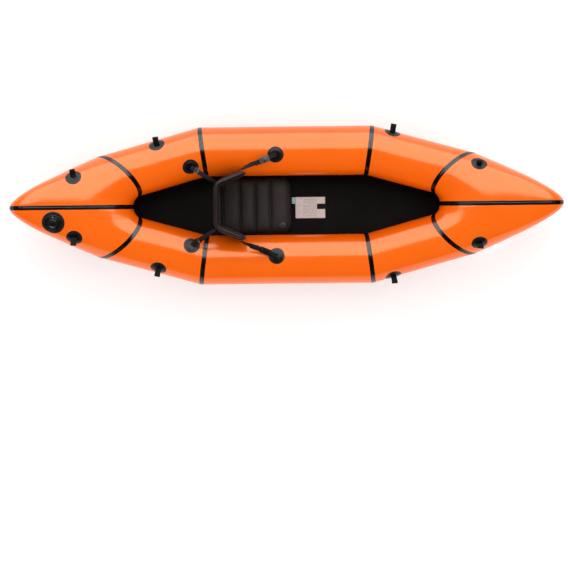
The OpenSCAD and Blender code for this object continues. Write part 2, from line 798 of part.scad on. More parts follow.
// Side view of the blade: steep back edge, round tip, swept front edge
module skeg_outline() {
    tip_r = 15;
    heel = [skeg_back + 2, -base_t];
    steps = 14;
    reach = skeg_front - skeg_back - 2 * tip_r;
    drop = skeg_depth - base_t;
    union() {
        translate([skeg_back + tip_r - 2, tip_r - skeg_depth]) circle(tip_r);
        polygon(concat(
            [
                [skeg_back, -3], [skeg_back, -base_t],
                heel - [4, drop - tip_r], [skeg_back + tip_r, -skeg_depth],
            ],
            [for (i = [1:steps])
                let (a = 90 * i / steps)
                [skeg_back + tip_r + (reach + tip_r) * sin(a), -base_t - drop * pow(cos(a), 0.8)]],
            [[skeg_front, -3]]
        ));
    }
}
module skeg() {
    color(black) union() {
        translate([0, skeg_t / 2, 0]) rotate([90, 0, 0]) linear_extrude(skeg_t) skeg_outline();
        block([skeg_back, -rail_w / 2, -2.3 - rail_t], [skeg_front, rail_w / 2, -2.3]);
    }
}

/* ---- Card on the floor ---- */

module floor_card() {
    color("mistyrose") block([40, -60, floor_t + 0.2], [175, 36, floor_t + 0.8]);
}
module floor_card_tag() {
    color("#bfe5dc") block([24, 6, floor_t + 0.2], [39, 35, floor_t + 0.8]);
}
module floor_card_tab() {
    color(black) block([140, -19, floor_t + 1], [182, 5, floor_t + 2.2]);
}

corner(1, 1) end_panel();  // bow_port_panel
corner(1, -1) end_panel();  // bow_starboard_panel
corner(-1, 1) end_panel();  // stern_port_panel
corner(-1, -1) end_panel();  // stern_starboard_panel
corner(1, 1) quarter_panel();  // fore_quarter_port_panel
corner(1, -1) quarter_panel();  // fore_quarter_starboard_panel
corner(-1, 1) quarter_panel();  // aft_quarter_port_panel
corner(-1, -1) quarter_panel();  // aft_quarter_starboard_panel
corner(1, 1) mid_panel();  // mid_port_panel
corner(1, -1) mid_panel();  // mid_starboard_panel
four_corners() mid_ring_tape();  // mid_ring_tapes
both_sides() end_ring_tape();  // bow_ring_tapes
mirror([1, 0, 0]) both_sides() end_ring_tape();  // stern_ring_tapes
centre_tape();  // bow_centre_tape
mirror([1, 0, 0]) centre_tape();  // stern_centre_tape
floor_sheet();
floor_stern_sheet();
corner(1, 1) floor_edge();  // floor_edge_port
corner(1, -1) floor_edge();  // floor_edge_starboard
quarter_loop_patches();
end_loop_patches();
webbing_loops();
strap_patches();
valve_patch();
valve_base();
valve_insert();
valve_flap();
valve_cap();
cap_ring();
cap_tether();
seat_cushion();
seat_grip_strips();
seat_valve();
seat_valve_nozzle();
backrest_pad();
backrest_piping();
backrest_band();
backrest_valve();
backrest_valve_nozzle();
strap_anchor_tabs();
corner(1, 1) fore_strap();  // fore_strap_port
corner(1, -1) fore_strap();  // fore_strap_starboard
aft_straps();
aft_buckles();
fore_buckle_sockets();
corner(1, 1) fore_buckle_plug();  // fore_buckle_plug_port
corner(1, -1) fore_buckle_plug();  // fore_buckle_plug_starboard
corner(1, 1) fore_lead();  // fore_lead_port
corner(1, -1) fore_lead();  // fore_lead_starboard
skeg_base();
skeg();
floor_card();
floor_card_tag();
floor_card_tab();
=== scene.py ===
"""Looks of the one-person inflatable kayak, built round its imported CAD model. Metres, the CAD's own frame."""

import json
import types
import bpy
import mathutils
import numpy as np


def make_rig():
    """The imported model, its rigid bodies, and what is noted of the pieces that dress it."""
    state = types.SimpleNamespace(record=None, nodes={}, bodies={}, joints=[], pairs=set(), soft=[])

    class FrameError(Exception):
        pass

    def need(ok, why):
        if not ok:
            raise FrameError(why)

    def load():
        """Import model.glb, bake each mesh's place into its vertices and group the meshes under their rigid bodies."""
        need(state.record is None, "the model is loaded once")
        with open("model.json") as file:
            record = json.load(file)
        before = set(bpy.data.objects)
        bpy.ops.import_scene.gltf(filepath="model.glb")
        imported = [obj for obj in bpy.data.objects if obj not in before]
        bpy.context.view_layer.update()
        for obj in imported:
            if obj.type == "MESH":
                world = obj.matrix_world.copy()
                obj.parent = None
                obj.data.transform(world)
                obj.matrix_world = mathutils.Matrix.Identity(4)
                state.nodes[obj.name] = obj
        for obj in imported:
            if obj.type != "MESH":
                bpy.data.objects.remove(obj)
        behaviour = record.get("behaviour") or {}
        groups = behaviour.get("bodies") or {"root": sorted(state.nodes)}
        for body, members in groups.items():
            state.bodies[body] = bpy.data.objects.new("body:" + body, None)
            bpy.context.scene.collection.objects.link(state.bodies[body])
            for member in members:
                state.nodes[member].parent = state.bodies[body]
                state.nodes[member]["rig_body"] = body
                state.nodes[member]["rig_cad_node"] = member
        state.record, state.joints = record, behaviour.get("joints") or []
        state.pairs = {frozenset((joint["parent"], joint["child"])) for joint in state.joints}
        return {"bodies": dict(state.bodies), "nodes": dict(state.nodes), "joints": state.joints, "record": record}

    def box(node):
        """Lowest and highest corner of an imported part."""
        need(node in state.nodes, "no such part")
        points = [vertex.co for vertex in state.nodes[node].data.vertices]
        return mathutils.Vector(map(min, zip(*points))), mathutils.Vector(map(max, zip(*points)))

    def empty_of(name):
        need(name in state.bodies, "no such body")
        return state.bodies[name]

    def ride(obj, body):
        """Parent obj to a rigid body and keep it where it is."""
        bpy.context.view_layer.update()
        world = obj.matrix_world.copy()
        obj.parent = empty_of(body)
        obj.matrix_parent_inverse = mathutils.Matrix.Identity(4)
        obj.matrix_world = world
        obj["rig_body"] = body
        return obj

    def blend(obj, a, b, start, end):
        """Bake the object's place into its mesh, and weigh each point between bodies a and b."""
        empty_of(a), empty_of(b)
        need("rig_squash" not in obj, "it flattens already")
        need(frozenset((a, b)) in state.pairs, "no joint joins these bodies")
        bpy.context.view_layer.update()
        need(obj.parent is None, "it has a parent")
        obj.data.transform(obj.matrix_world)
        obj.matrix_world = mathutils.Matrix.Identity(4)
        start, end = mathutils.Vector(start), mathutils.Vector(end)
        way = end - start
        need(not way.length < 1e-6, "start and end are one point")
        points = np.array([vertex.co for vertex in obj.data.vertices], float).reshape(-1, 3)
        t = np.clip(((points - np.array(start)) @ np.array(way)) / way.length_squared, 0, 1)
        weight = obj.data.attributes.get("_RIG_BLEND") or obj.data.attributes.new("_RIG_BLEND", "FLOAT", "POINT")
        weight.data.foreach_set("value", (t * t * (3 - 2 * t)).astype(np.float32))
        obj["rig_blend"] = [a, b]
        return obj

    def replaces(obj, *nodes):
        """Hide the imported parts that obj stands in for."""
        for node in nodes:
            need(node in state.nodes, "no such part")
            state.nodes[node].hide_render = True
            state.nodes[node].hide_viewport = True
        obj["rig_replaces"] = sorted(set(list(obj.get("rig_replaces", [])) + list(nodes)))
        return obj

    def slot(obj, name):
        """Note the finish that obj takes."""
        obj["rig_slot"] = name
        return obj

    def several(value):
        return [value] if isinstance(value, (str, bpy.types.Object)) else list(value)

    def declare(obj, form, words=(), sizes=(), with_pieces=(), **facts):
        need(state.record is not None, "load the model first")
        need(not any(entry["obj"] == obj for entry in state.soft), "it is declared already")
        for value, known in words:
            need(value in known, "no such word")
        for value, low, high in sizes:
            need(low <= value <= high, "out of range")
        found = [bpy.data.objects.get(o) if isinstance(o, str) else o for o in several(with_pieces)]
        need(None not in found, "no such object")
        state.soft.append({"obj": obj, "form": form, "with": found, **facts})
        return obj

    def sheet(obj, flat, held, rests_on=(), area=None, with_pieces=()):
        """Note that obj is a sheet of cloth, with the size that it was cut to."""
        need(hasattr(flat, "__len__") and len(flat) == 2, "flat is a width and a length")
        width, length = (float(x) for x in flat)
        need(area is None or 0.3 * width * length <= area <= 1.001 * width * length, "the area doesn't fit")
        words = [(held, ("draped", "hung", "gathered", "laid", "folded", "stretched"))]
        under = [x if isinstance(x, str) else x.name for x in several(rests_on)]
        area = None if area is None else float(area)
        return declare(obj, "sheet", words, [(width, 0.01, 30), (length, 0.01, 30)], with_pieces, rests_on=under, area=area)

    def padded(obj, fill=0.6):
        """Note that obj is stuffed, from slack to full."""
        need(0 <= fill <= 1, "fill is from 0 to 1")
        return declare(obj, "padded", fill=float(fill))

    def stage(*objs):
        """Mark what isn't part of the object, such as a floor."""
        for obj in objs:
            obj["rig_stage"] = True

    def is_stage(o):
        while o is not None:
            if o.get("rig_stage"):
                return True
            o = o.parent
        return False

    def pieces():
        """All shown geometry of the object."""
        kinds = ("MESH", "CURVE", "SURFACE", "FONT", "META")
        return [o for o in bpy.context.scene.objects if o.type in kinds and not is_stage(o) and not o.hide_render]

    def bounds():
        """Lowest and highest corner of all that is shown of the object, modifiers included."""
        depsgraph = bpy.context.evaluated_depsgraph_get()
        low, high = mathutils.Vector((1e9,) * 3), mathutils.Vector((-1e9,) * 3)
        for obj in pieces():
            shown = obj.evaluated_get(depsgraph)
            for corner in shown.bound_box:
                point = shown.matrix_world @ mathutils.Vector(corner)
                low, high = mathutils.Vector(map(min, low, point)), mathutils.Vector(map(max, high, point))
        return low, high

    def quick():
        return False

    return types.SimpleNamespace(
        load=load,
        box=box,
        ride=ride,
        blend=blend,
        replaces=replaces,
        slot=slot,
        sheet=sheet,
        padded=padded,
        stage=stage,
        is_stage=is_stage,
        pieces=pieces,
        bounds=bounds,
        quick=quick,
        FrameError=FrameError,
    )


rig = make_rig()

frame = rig.load()
CAD_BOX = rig.bounds()

import json
import math

import bmesh
import bpy
import numpy as np
from mathutils import Matrix, Vector, noise
from mathutils.bvhtree import BVHTree

# ---- Driving dimensions of the hull, as the CAD has them ----
HULL_LENGTH = 2.450
TUBE_R = 0.110
TUBE_Y = 0.242
MID_X = 0.370
AXIS_Z = 0.111
QUARTER_YAW = math.radians(15.5)
QUARTER_RISE = math.radians(0.7)
END_REACH = 0.471
RING_YAW = math.radians(44.5)
RING_TILT = math.radians(24)
RING_PULL = 0.35
TAPE_W = 0.020
TAPE_T = 0.0010
PATCH_D = 0.072
FLOOR_T = 0.001
SKEG_DEPTH = 0.060
FLOOR_PHI = 275.0      # where the floor's fabric meets the tubes, in degrees round them
# Outline of an end in the centre plane: distance behind the tip and height, in metres
END_OUTLINE = np.array([
    [4, 190], [14, 252], [75, 279], [175, 281], [280, 279], [375, 270], [460, 238], [515, 190],
    [537, 130], [535, 65], [505, 20], [435, 3], [345, 1.5], [245, 1.5], [140, 9], [48, 66],
]) / 1000

QA = np.array([
    math.cos(QUARTER_YAW) * math.cos(QUARTER_RISE),
    -math.sin(QUARTER_YAW) * math.cos(QUARTER_RISE),
    math.sin(QUARTER_RISE),
])
QU = np.array([math.sin(QUARTER_YAW), math.cos(QUARTER_YAW), 0.0])
QW = np.cross(QA, QU)
Q0 = np.array([MID_X, TUBE_Y, AXIS_Z])
QUARTER_L = (HULL_LENGTH / 2 - END_REACH - MID_X) / QA[0]
Q1 = Q0 + QA * QUARTER_L
RING_N = np.array([
    math.cos(RING_TILT) * math.cos(RING_YAW),
    -math.cos(RING_TILT) * math.sin(RING_YAW),
    math.sin(RING_TILT),
])
X_AXIS, UP = np.array([1.0, 0, 0]), np.array([0, 0, 1.0])
UPRIGHT = np.eye(3)
SIDES = {1: "port", -1: "starboard"}
MITRE_N = (QA + [1, 0, 0]) / np.linalg.norm(QA + [1, 0, 0])
CORNERS = {
    "bow_port": (1, 1), "bow_starboard": (1, -1), "stern_port": (-1, 1), "stern_starboard": (-1, -1),
}


# ---- Surface functions of the fore port corner; angles in degrees ----
def unit(v):
    return v / np.linalg.norm(v, axis=-1, keepdims=True)


def xyz(x, y, z):
    """Points from coordinates that broadcast together."""
    return np.stack(np.broadcast_arrays(x, y, z), -1)


def run_along(line):
    """Distance from a line's start to each of its points."""
    return np.append(0, np.cumsum(np.linalg.norm(np.diff(line, axis=0), axis=-1)))


def respaced(line, count, closed=False):
    """Evenly spaced points of a line, and their distances from its start."""
    if closed:
        line = np.vstack([line, line[:1]])
    run = run_along(line)
    even = np.linspace(0, run[-1], count + closed)[:count]
    return np.stack([np.interp(even, run, column) for column in line.T], -1), even


def catmull_rom(a, b, c, d, f):
    """Point at share f of the way from b to c, on a smooth line through four points."""
    return 0.5 * (2 * b + (c - a) * f + (2 * a - 5 * b + 4 * c - d) * f**2 + (3 * b - a - 3 * c + d) * f**3)


def into_plane(point, v, axis, normal):
    """point + v, slid along axis into the plane through point."""
    return point + v - axis * ((v @ normal) / (axis @ normal))[..., None]


def cos_sin(phi):
    a = np.radians(np.asarray(phi, float))[..., None]
    return np.cos(a), np.sin(a)


def outline_at(phi):
    """Smooth point of the closed end outline."""
    n = len(END_OUTLINE)
    q = np.mod(phi, 360) * n / 360
    i = np.floor(q).astype(int)
    return catmull_rom(*(END_OUTLINE[(i + k) % n] for k in (-1, 0, 1, 2)), (q - i)[..., None])


def keel_at(phi):
    p = outline_at(phi)
    return xyz(HULL_LENGTH / 2 - p[..., 0], 0, p[..., 1])


def quarter_round(phi):
    c, s = cos_sin(phi)
    return c * QU + s * QW


def mid_round(phi):
    c, s = cos_sin(phi)
    return c * [0, 1, 0] + s * UP


def ring_at(phi):
    return into_plane(Q1, TUBE_R * quarter_round(phi), QA, RING_N)


def end_at(t, phi):
    """Point of the end panel; t is 0 at the ring seam and 1 at the centre seam."""
    c, s = cos_sin(phi)
    c2, _ = cos_sin(2 * np.asarray(phi, float))
    ring, keel = ring_at(phi), keel_at(phi)
    outer = keel + (0.056 + 0.018 * c + 0.015 * s - 0.019 * c2) * np.array([0, 1, 0])
    inner = ring + RING_PULL * (outer - ring)
    t = np.asarray(t, float)[..., None]
    u = 1 - t
    return u**3 * ring + 3 * u**2 * t * inner + 3 * u * t**2 * outer + t**3 * keel


def quarter_at(s, phi):
    return Q0 + QA * np.asarray(s, float)[..., None] + TUBE_R * quarter_round(phi)


def mid_at(x, phi):
    x = np.asarray(x, float)[..., None]
    return np.array([0, TUBE_Y, AXIS_Z]) + x * X_AXIS + TUBE_R * mid_round(phi)


def mitre_at(phi):
    return into_plane(Q0, TUBE_R * mid_round(phi), X_AXIS, MITRE_N)


def quarter_from_mitre(phi):
    """Where the quarter tube's line at phi leaves the mitre seam."""
    return into_plane(Q0, TUBE_R * quarter_round(phi), QA, MITRE_N)


def place(points, corner):
    return points * np.array([corner[0], corner[1], 1.0])


# ---- Mesh helpers ----
def linked(name, data):
    """A new object in the scene."""
    obj = bpy.data.objects.new(name, data)
    bpy.context.scene.collection.objects.link(obj)
    return obj


def mesh_object(name, verts, faces, material, uv=None):
    mesh = bpy.data.meshes.new(name)
    mesh.from_pydata(np.asarray(verts, float).reshape(-1, 3).tolist(), [], faces)
    mesh.validate()
    if uv is not None:
        layer = mesh.uv_layers.new(name="UVMap")
        index = np.empty(len(mesh.loops), dtype=np.int64)
        mesh.loops.foreach_get("vertex_index", index)
        layer.data.foreach_set("uv", np.asarray(uv, float).reshape(-1, 2)[index].ravel())
    mesh.polygons.foreach_set("use_smooth", [True] * len(mesh.polygons))
    mesh.update()
    for m in material if isinstance(material, list) else [material]:
        mesh.materials.append(m)
    return linked(name, mesh)


def vertices(obj):
    return np.array([v.co for v in obj.data.vertices])


def move_vertices(obj, places):
    obj.data.vertices.foreach_set("co", places.ravel())
    obj.data.update()


def grid_faces(rows, cols, wrap=False, flip=False, start=0):
    faces = []
    for i in range(rows - 1):
        for j in range(cols if wrap else cols - 1):
            k = (j + 1) % cols
            near, far = start + i * cols, start + (i + 1) * cols
            a, b, c, d = near + j, near + k, far + k, far + j
            faces.append((d, c, b, a) if flip else (a, b, c, d))
    return faces


def loop_faces(rows, cols):
    """Faces of a grid that is closed both ways."""
    last = (rows - 1) * cols
    return grid_faces(rows, cols, wrap=True) + [
        (last + j, last + (j + 1) % cols, (j + 1) % cols, j) for j in range(cols)]


def face_out(obj, merge=None):
    """Turns every face of a closed mesh outwards, once vertices nearer than merge are one."""
    bm = bmesh.new()
    bm.from_mesh(obj.data)
    if merge:
        bmesh.ops.remove_doubles(bm, verts=bm.verts, dist=merge)
    bmesh.ops.recalc_face_normals(bm, faces=bm.faces)
    bm.to_mesh(obj.data)
    bm.free()
    return obj


def bmesh_object(name, bm, material, sharp=None):
    """A new object of a bmesh; edges sharper than sharp, in degrees, stay hard."""
    mesh = bpy.data.meshes.new(name)
    bm.to_mesh(mesh)
    bm.free()
    mesh.materials.append(material)
    if sharp:
        mesh.polygons.foreach_set("use_smooth", [True] * len(mesh.polygons))
        mesh.set_sharp_from_angle(angle=math.radians(sharp))
    return linked(name, mesh)


def rounded_block(low, high, soft, segments):
    bm = bmesh.new()
    bmesh.ops.create_cube(bm, size=1.0)
    low, high = np.array(low, float), np.array(high, float)
    for v in bm.verts:
        v.co = Vector((low + high) / 2 + np.array(v.co) * (high - low))
    bmesh.ops.bevel(bm, geom=bm.edges[:], offset=soft, segments=segments, profile=0.5, affect="EDGES")
    return bm


def tube_mesh(name, rings, material, uv=None):
    """Closed skin over rings of points, each ring closed; the two ends are capped."""
    rings = np.asarray(rings, float)
    rows, cols = rings.shape[:2]
    caps = [tuple(range(cols - 1, -1, -1)), tuple((rows - 1) * cols + j for j in range(cols))]
    return face_out(mesh_object(name, rings, grid_faces(rows, cols, wrap=True) + caps, material, uv))


def finish_piece(obj, body, slot, *nodes):
    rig.ride(obj, body)
    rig.slot(obj, slot)
    if nodes:
        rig.replaces(obj, *nodes)
    return obj


def bumpiness(points, size, seed):
    """Smooth noise from -1 to 1 at each point."""
    shift = Vector((seed * 7.31, seed * 3.17, seed * 1.73))
    flat = points.reshape(-1, 3) / size
    values = [noise.noise(Vector(p) + shift) for p in flat]
    return np.array(values).reshape(points.shape[:-1])


def grid_normals(p):
    """Normals of a grid of points that closes across its rows."""
    return unit(np.cross(np.roll(p, -1, 1) - np.roll(p, 1, 1), np.gradient(p, axis=0)))


# ---- Materials ----
class Look:
    """A Principled material with a few procedural layers on it."""

    def __init__(self, name, colour, roughness, specular=0.5):
        self.material = bpy.data.materials.new(name)
        self.material.use_nodes = True
        self.material.diffuse_color = (*colour, 1)
        self.tree = self.material.node_tree
        self.shader = self.tree.nodes["Principled BSDF"]
        self.put("Base Color", (*colour, 1))
        self.put("Roughness", roughness)
        self.put("Specular IOR Level", specular)
        self.height = None

    def put(self, socket, value):
        self.shader.inputs[socket].default_value = value

    def node(self, kind, **settings):
        n = self.tree.nodes.new(kind)
        for key, value in settings.items():
            setattr(n, key, value)
        return n

    def link(self, a, b):
        self.tree.links.new(a, b)

    def coords(self, kind):
        return self.node("ShaderNodeTexCoord").outputs[kind]

    def noise(self, scale, detail=3.0, rough=0.5, kind="Object", stretch=None):
        tex = self.node("ShaderNodeTexNoise")
        tex.inputs["Scale"].default_value = scale
        tex.inputs["Detail"].default_value = detail
        tex.inputs["Roughness"].default_value = rough
        source = self.coords(kind)
        if stretch:
            mapping = self.node("ShaderNodeMapping")
            mapping.inputs["Scale"].default_value = stretch
            self.link(source, mapping.inputs["Vector"])
            source = mapping.outputs["Vector"]
        self.link(source, tex.inputs["Vector"])
        return tex.outputs["Fac"]

    def ramp(self, source, low, high, a, b):
        out = self.node("ShaderNodeMapRange")
        for key, value in (("From Min", low), ("From Max", high), ("To Min", a), ("To Max", b)):
            out.inputs[key].default_value = value
        self.link(source, out.inputs["Value"])
        return out.outputs["Result"]

    def math(self, operation, *values):
        n = self.node("ShaderNodeMath", operation=operation)
        for socket, value in zip(n.inputs, values):
            if isinstance(value, (int, float)):
                socket.default_value = value
            else:
                self.link(value, socket)
        return n.outputs[0]

    def between(self, source, low, high):
        return self.math(
            "MULTIPLY", self.math("GREATER_THAN", source, low), self.math("LESS_THAN", source, high))

    def stripes(self, source, count, share):
        return self.math("LESS_THAN", self.math("FRACT", self.math("MULTIPLY", source, count)), share)

    def split(self, kind):
        n = self.node("ShaderNodeSeparateXYZ")
        self.link(self.coords(kind), n.inputs[0])
        return n.outputs

    def tint(self, source, low, high, other):
        """Mixes the base colour towards another where source is high."""
        mix = self.node("ShaderNodeMix", data_type="RGBA")
        socket = self.shader.inputs["Base Color"]
        if socket.is_linked:
            self.link(socket.links[0].from_socket, mix.inputs[6])
        else:
            mix.inputs[6].default_value = socket.default_value
        mix.inputs[7].default_value = (*other, 1)
        self.link(self.ramp(source, low, high, 0.0, 1.0), mix.inputs[0])
        self.link(mix.outputs[2], socket)
        return self

    def gloss(self, source, low, high, a, b):
        self.link(self.ramp(source, low, high, a, b), self.shader.inputs["Roughness"])
        return self

    def bump(self, source, distance, strength):
        n = self.node("ShaderNodeBump")
        n.inputs["Distance"].default_value = distance
        n.inputs["Strength"].default_value = strength
        self.link(source, n.inputs["Height"])
        if self.height is not None:
            self.link(self.height, n.inputs["Normal"])
        self.height = n.outputs["Normal"]
        self.link(self.height, self.shader.inputs["Normal"])
        return self

    def wave(self, source, pitch):
        return self.math("SINE", self.math("MULTIPLY", source, 2 * math.pi / pitch))

    def weave(self, pitch):
        """Plain weave height: two crossed ribs, a thread every pitch."""
        x, y, _ = self.split("Object")
        return self.math("MULTIPLY", self.wave(x, pitch), self.wave(y, pitch))

    def webbing(self, pitch):
        """Height of woven webbing: ribs in a chevron, along UV's first axis."""
        u, v, _ = self.split("UV")
        ribs = self.wave(self.math("ADD", u, self.math("PINGPONG", v, pitch * 1.7)), pitch)
        return self.math("ADD", ribs, self.math("MULTIPLY", self.wave(v, pitch / 1.8), 0.35))


def tube_fabric():
    look = Look("tube_fabric", (0.96, 0.138, 0.0016), 0.17, 0.62)
    look.put("Specular Tint", (1.0, 0.98, 0.66, 1))
    look.tint(look.noise(5.0, 4), 0.35, 0.75, (0.93, 0.126, 0.0016))
    look.tint(look.noise(90.0, 3), 0.62, 0.8, (0.97, 0.152, 0.003))
    look.gloss(look.noise(14.0, 5, 0.6), 0.3, 0.7, 0.145, 0.205)
    look.bump(look.noise(9.0, 3, 0.5), 0.004, 0.10)
    look.bump(look.noise(55.0, 4, 0.55), 0.0008, 0.10)
    look.bump(look.weave(0.0009), 0.00003, 0.25)
    return look.material


def tape_fabric():
    look = Look("seam_tape", (0.0028, 0.0028, 0.0030), 0.16, 0.5)
    look.tint(look.noise(30.0, 4), 0.4, 0.75, (0.005, 0.0048, 0.005))
    look.gloss(look.noise(40.0, 5, 0.6), 0.3, 0.7, 0.13, 0.22)
    look.bump(look.noise(60.0, 4, 0.6), 0.0010, 0.45)
    look.bump(look.noise(420.0, 2), 0.0001, 0.5)
    return look.material


def floor_fabric():
    look = Look("floor_fabric", (0.0040, 0.0026, 0.0028), 0.5, 0.05)
    look.tint(look.noise(7.0, 5), 0.4, 0.8, (0.006, 0.0044, 0.0045))
    look.gloss(look.noise(18.0, 5, 0.6), 0.3, 0.7, 0.45, 0.62)
    look.bump(look.noise(16.0, 4, 0.6), 0.004, 0.5)
    look.bump(look.weave(0.0014), 0.00010, 0.6)
    return look.material


def patch_fabric(name, colour, roughness):
    look = Look(name, colour, roughness, 0.24)
    look.tint(look.noise(60.0, 4), 0.45, 0.75, tuple(c * 1.7 for c in colour))
    look.gloss(look.noise(70.0, 4), 0.3, 0.7, roughness - 0.05, roughness + 0.08)
    look.bump(look.noise(110.0, 4, 0.6), 0.0006, 0.45)
    look.bump(look.weave(0.0012), 0.00008, 0.5)
    return look.material


def webbing_fabric():
    look = Look("webbing", (0.0038, 0.0036, 0.0040), 0.5, 0.14)
    look.put("Sheen Weight", 0.04)
    look.put("Sheen Roughness", 0.4)
    ribs = look.webbing(0.0022)
    look.tint(ribs, -0.4, 1.2, (0.009, 0.009, 0.0095))
    look.tint(look.noise(160.0, 3), 0.6, 0.85, (0.015, 0.014, 0.015))
    look.bump(ribs, 0.00035, 0.8)
    return look.material


def padded_fabric(name, colour, roughness):
    look = Look(name, colour, roughness, 0.22)
    look.put("Sheen Weight", 0.04)
    look.put("Sheen Roughness", 0.45)
    look.tint(look.noise(11.0, 5), 0.35, 0.75, tuple(c * 1.35 for c in colour))
    look.tint(look.noise(260.0, 2), 0.58, 0.8, tuple(c * 1.8 for c in colour))
    look.gloss(look.noise(24.0, 4), 0.3, 0.7, roughness - 0.07, roughness + 0.07)
    look.bump(look.noise(34.0, 4, 0.6), 0.0022, 0.5)
    look.bump(look.weave(0.0016), 0.00014, 0.7)
    return look.material


def moulded_plastic(name, colour, roughness):
    look = Look(name, colour, roughness, 0.5)
    look.tint(look.noise(80.0, 4), 0.5, 0.8, tuple(c * 1.8 + 0.004 for c in colour))
    look.gloss(look.noise(130.0, 4), 0.3, 0.7, roughness - 0.06, roughness + 0.1)
    look.bump(look.noise(900.0, 2), 0.00012, 0.4)
    return look.material


def thread_fibre():
    look = Look("thread", (0.03, 0.03, 0.032), 0.5)
    look.tint(look.noise(900.0, 2), 0.4, 0.7, (0.06, 0.06, 0.062))
    look.bump(look.noise(1800.0, 2), 0.0002, 0.6)
    return look.material


def card_stock():
    """Off-white card with plain grey rules, like lines of print seen from afar, and three red marks."""
    look = Look("card_stock", (0.70, 0.61, 0.585), 0.38, 0.45)
    u, v, _ = look.split("UV")
    inside = look.math("MULTIPLY", look.between(u, 0.26, 0.72), look.between(v, 0.1, 0.9))
    broken = look.ramp(look.noise(13.0, 1, kind="UV", stretch=(1, 1.3, 1)), 0.36, 0.46, 0.0, 1.0)
    rule = look.math("MULTIPLY", look.math("MULTIPLY", look.stripes(v, 15.0, 0.32), inside), broken)
    look.tint(rule, 0.0, 1.5, (0.16, 0.13, 0.13))
    marks = look.math("MULTIPLY", look.between(u, 0.14, 0.22), look.stripes(v, 3.3, 0.09))
    look.tint(marks, 0.0, 1.6, (0.62, 0.12, 0.1))
    look.tint(look.noise(30.0, 3), 0.45, 0.75, (0.62, 0.53, 0.51))
    look.bump(look.noise(40.0, 3), 0.0012, 0.3)
    return look.material


def tag_stock():
    look = Look("tag_stock", (0.28, 0.48, 0.44), 0.5)
    look.tint(look.noise(120.0, 3), 0.4, 0.7, (0.34, 0.55, 0.51))
    look.bump(look.weave(0.0011), 0.0001, 0.5)
    return look.material


def studio_floor():
    look = Look("studio_floor", (0.62, 0.62, 0.623), 0.75, 0.1)
    look.tint(look.noise(1.2, 3), 0.3, 0.8, (0.64, 0.64, 0.642))
    look.bump(look.noise(90.0, 3), 0.0004, 0.1)
    look.put("Emission Color", (1, 1, 1, 1))
    look.put("Emission Strength", 0.42)
    return look.material


M = {
    "tube": tube_fabric(),
    "tape": tape_fabric(),
    "floor": floor_fabric(),
    # The patch's outer ring is painted a lighter grey than its core: a painted sheen on the outer layer.
    "rim": patch_fabric("patch_rim_painted_sheen", (0.011, 0.011, 0.0125), 0.27),
    "patch": patch_fabric("patch_core", (0.0030, 0.0030, 0.0034), 0.24),
    "webbing": webbing_fabric(),
    "seat": padded_fabric("seat_fabric", (0.0200, 0.0155, 0.0150), 0.55),
    "back": padded_fabric("back_fabric", (0.0060, 0.0048, 0.0050), 0.5),
    # The piping is painted lighter than the pad: a painted sheen along the pad's edges, added to its lower roughness.
    "piping": padded_fabric("piping_fabric_painted_sheen", (0.0085, 0.0075, 0.0080), 0.33),
    "buckle": moulded_plastic("buckle_plastic", (0.0045, 0.0045, 0.0050), 0.24),
    "valve": moulded_plastic("valve_plastic", (0.0060, 0.0060, 0.0066), 0.26),
    "rubber": moulded_plastic("valve_rubber", (0.032, 0.032, 0.033), 0.55),
    "skeg": moulded_plastic("skeg_plastic", (0.010, 0.010, 0.011), 0.38),
    "thread": thread_fibre(),
    "card": card_stock(),
    "tag": tag_stock(),
}


# ---- Air tube ----
def seam_relief(distance, arc, seed, pucker):
    """Depth of the fabric near a seam: a shallow valley with small gathers in it."""
    waves = np.sin(arc / 0.0115 + 1.7 * np.sin(arc / 0.047 + seed))
    waves = waves * (0.6 + 0.4 * np.sin(arc / 0.031 + 2 * seed))
    valley = -0.0014 * np.exp(-((distance / 0.011) ** 2))
    return valley + pucker * waves * np.exp(-distance / 0.020)


def panel(label, points, relief, corner):
    normals = grid_normals(points)
    if np.mean(np.sum(normals * (points - points.mean(axis=(0, 1))), -1)) < 0:
        normals = -normals
    moved = place(points + normals * relief[..., None], corner)
    faces = grid_faces(*points.shape[:2], wrap=True, flip=corner[0] * corner[1] > 0)
    obj = mesh_object(label + "_tube", moved, faces, M["tube"])
    return finish_piece(obj, "hull", "tube_fabric", label + "_panel")


def mid_panel(side):
    phi = np.arange(0, 360, 3.0)
    share = np.linspace(-1, 1, 121)
    share = np.sign(share) * (1 - (1 - np.abs(share)) ** 1.35)
    edge = mitre_at(phi)[None, :, 0]
    points = mid_at(share[:, None] * edge, phi[None, :] + 0 * edge)
    distance = np.abs(edge) - np.abs(points[..., 0])
    arc = TUBE_R * np.radians(phi)[None, :]
    relief = seam_relief(distance, arc, 1 + side, 0.00035) + 0.0006 * bumpiness(points, 0.16, 3 + side)
    return panel("mid_" + SIDES[side], points, relief, (1, side))


def quarter_panel(corner, label):
    phi = np.arange(0, 360, 3.0)
    share = np.linspace(0, 1, 81)[:, None, None]
    start, stop = quarter_from_mitre(phi), ring_at(phi)
    points = start * (1 - share) + stop * share
    length = np.linalg.norm(stop - start, axis=-1)[None, :]
    run = share[..., 0] * length
    arc = TUBE_R * np.radians(phi)[None, :]
    relief = seam_relief(run, arc, 2.0 + corner[1], 0.00035)
    relief += seam_relief(length - run, arc, 4.0 - corner[0], 0.0005)
    relief += 0.0008 * bumpiness(points, 0.14, 5 + 2 * corner[0] + corner[1])
    return panel(label, points, relief, corner)


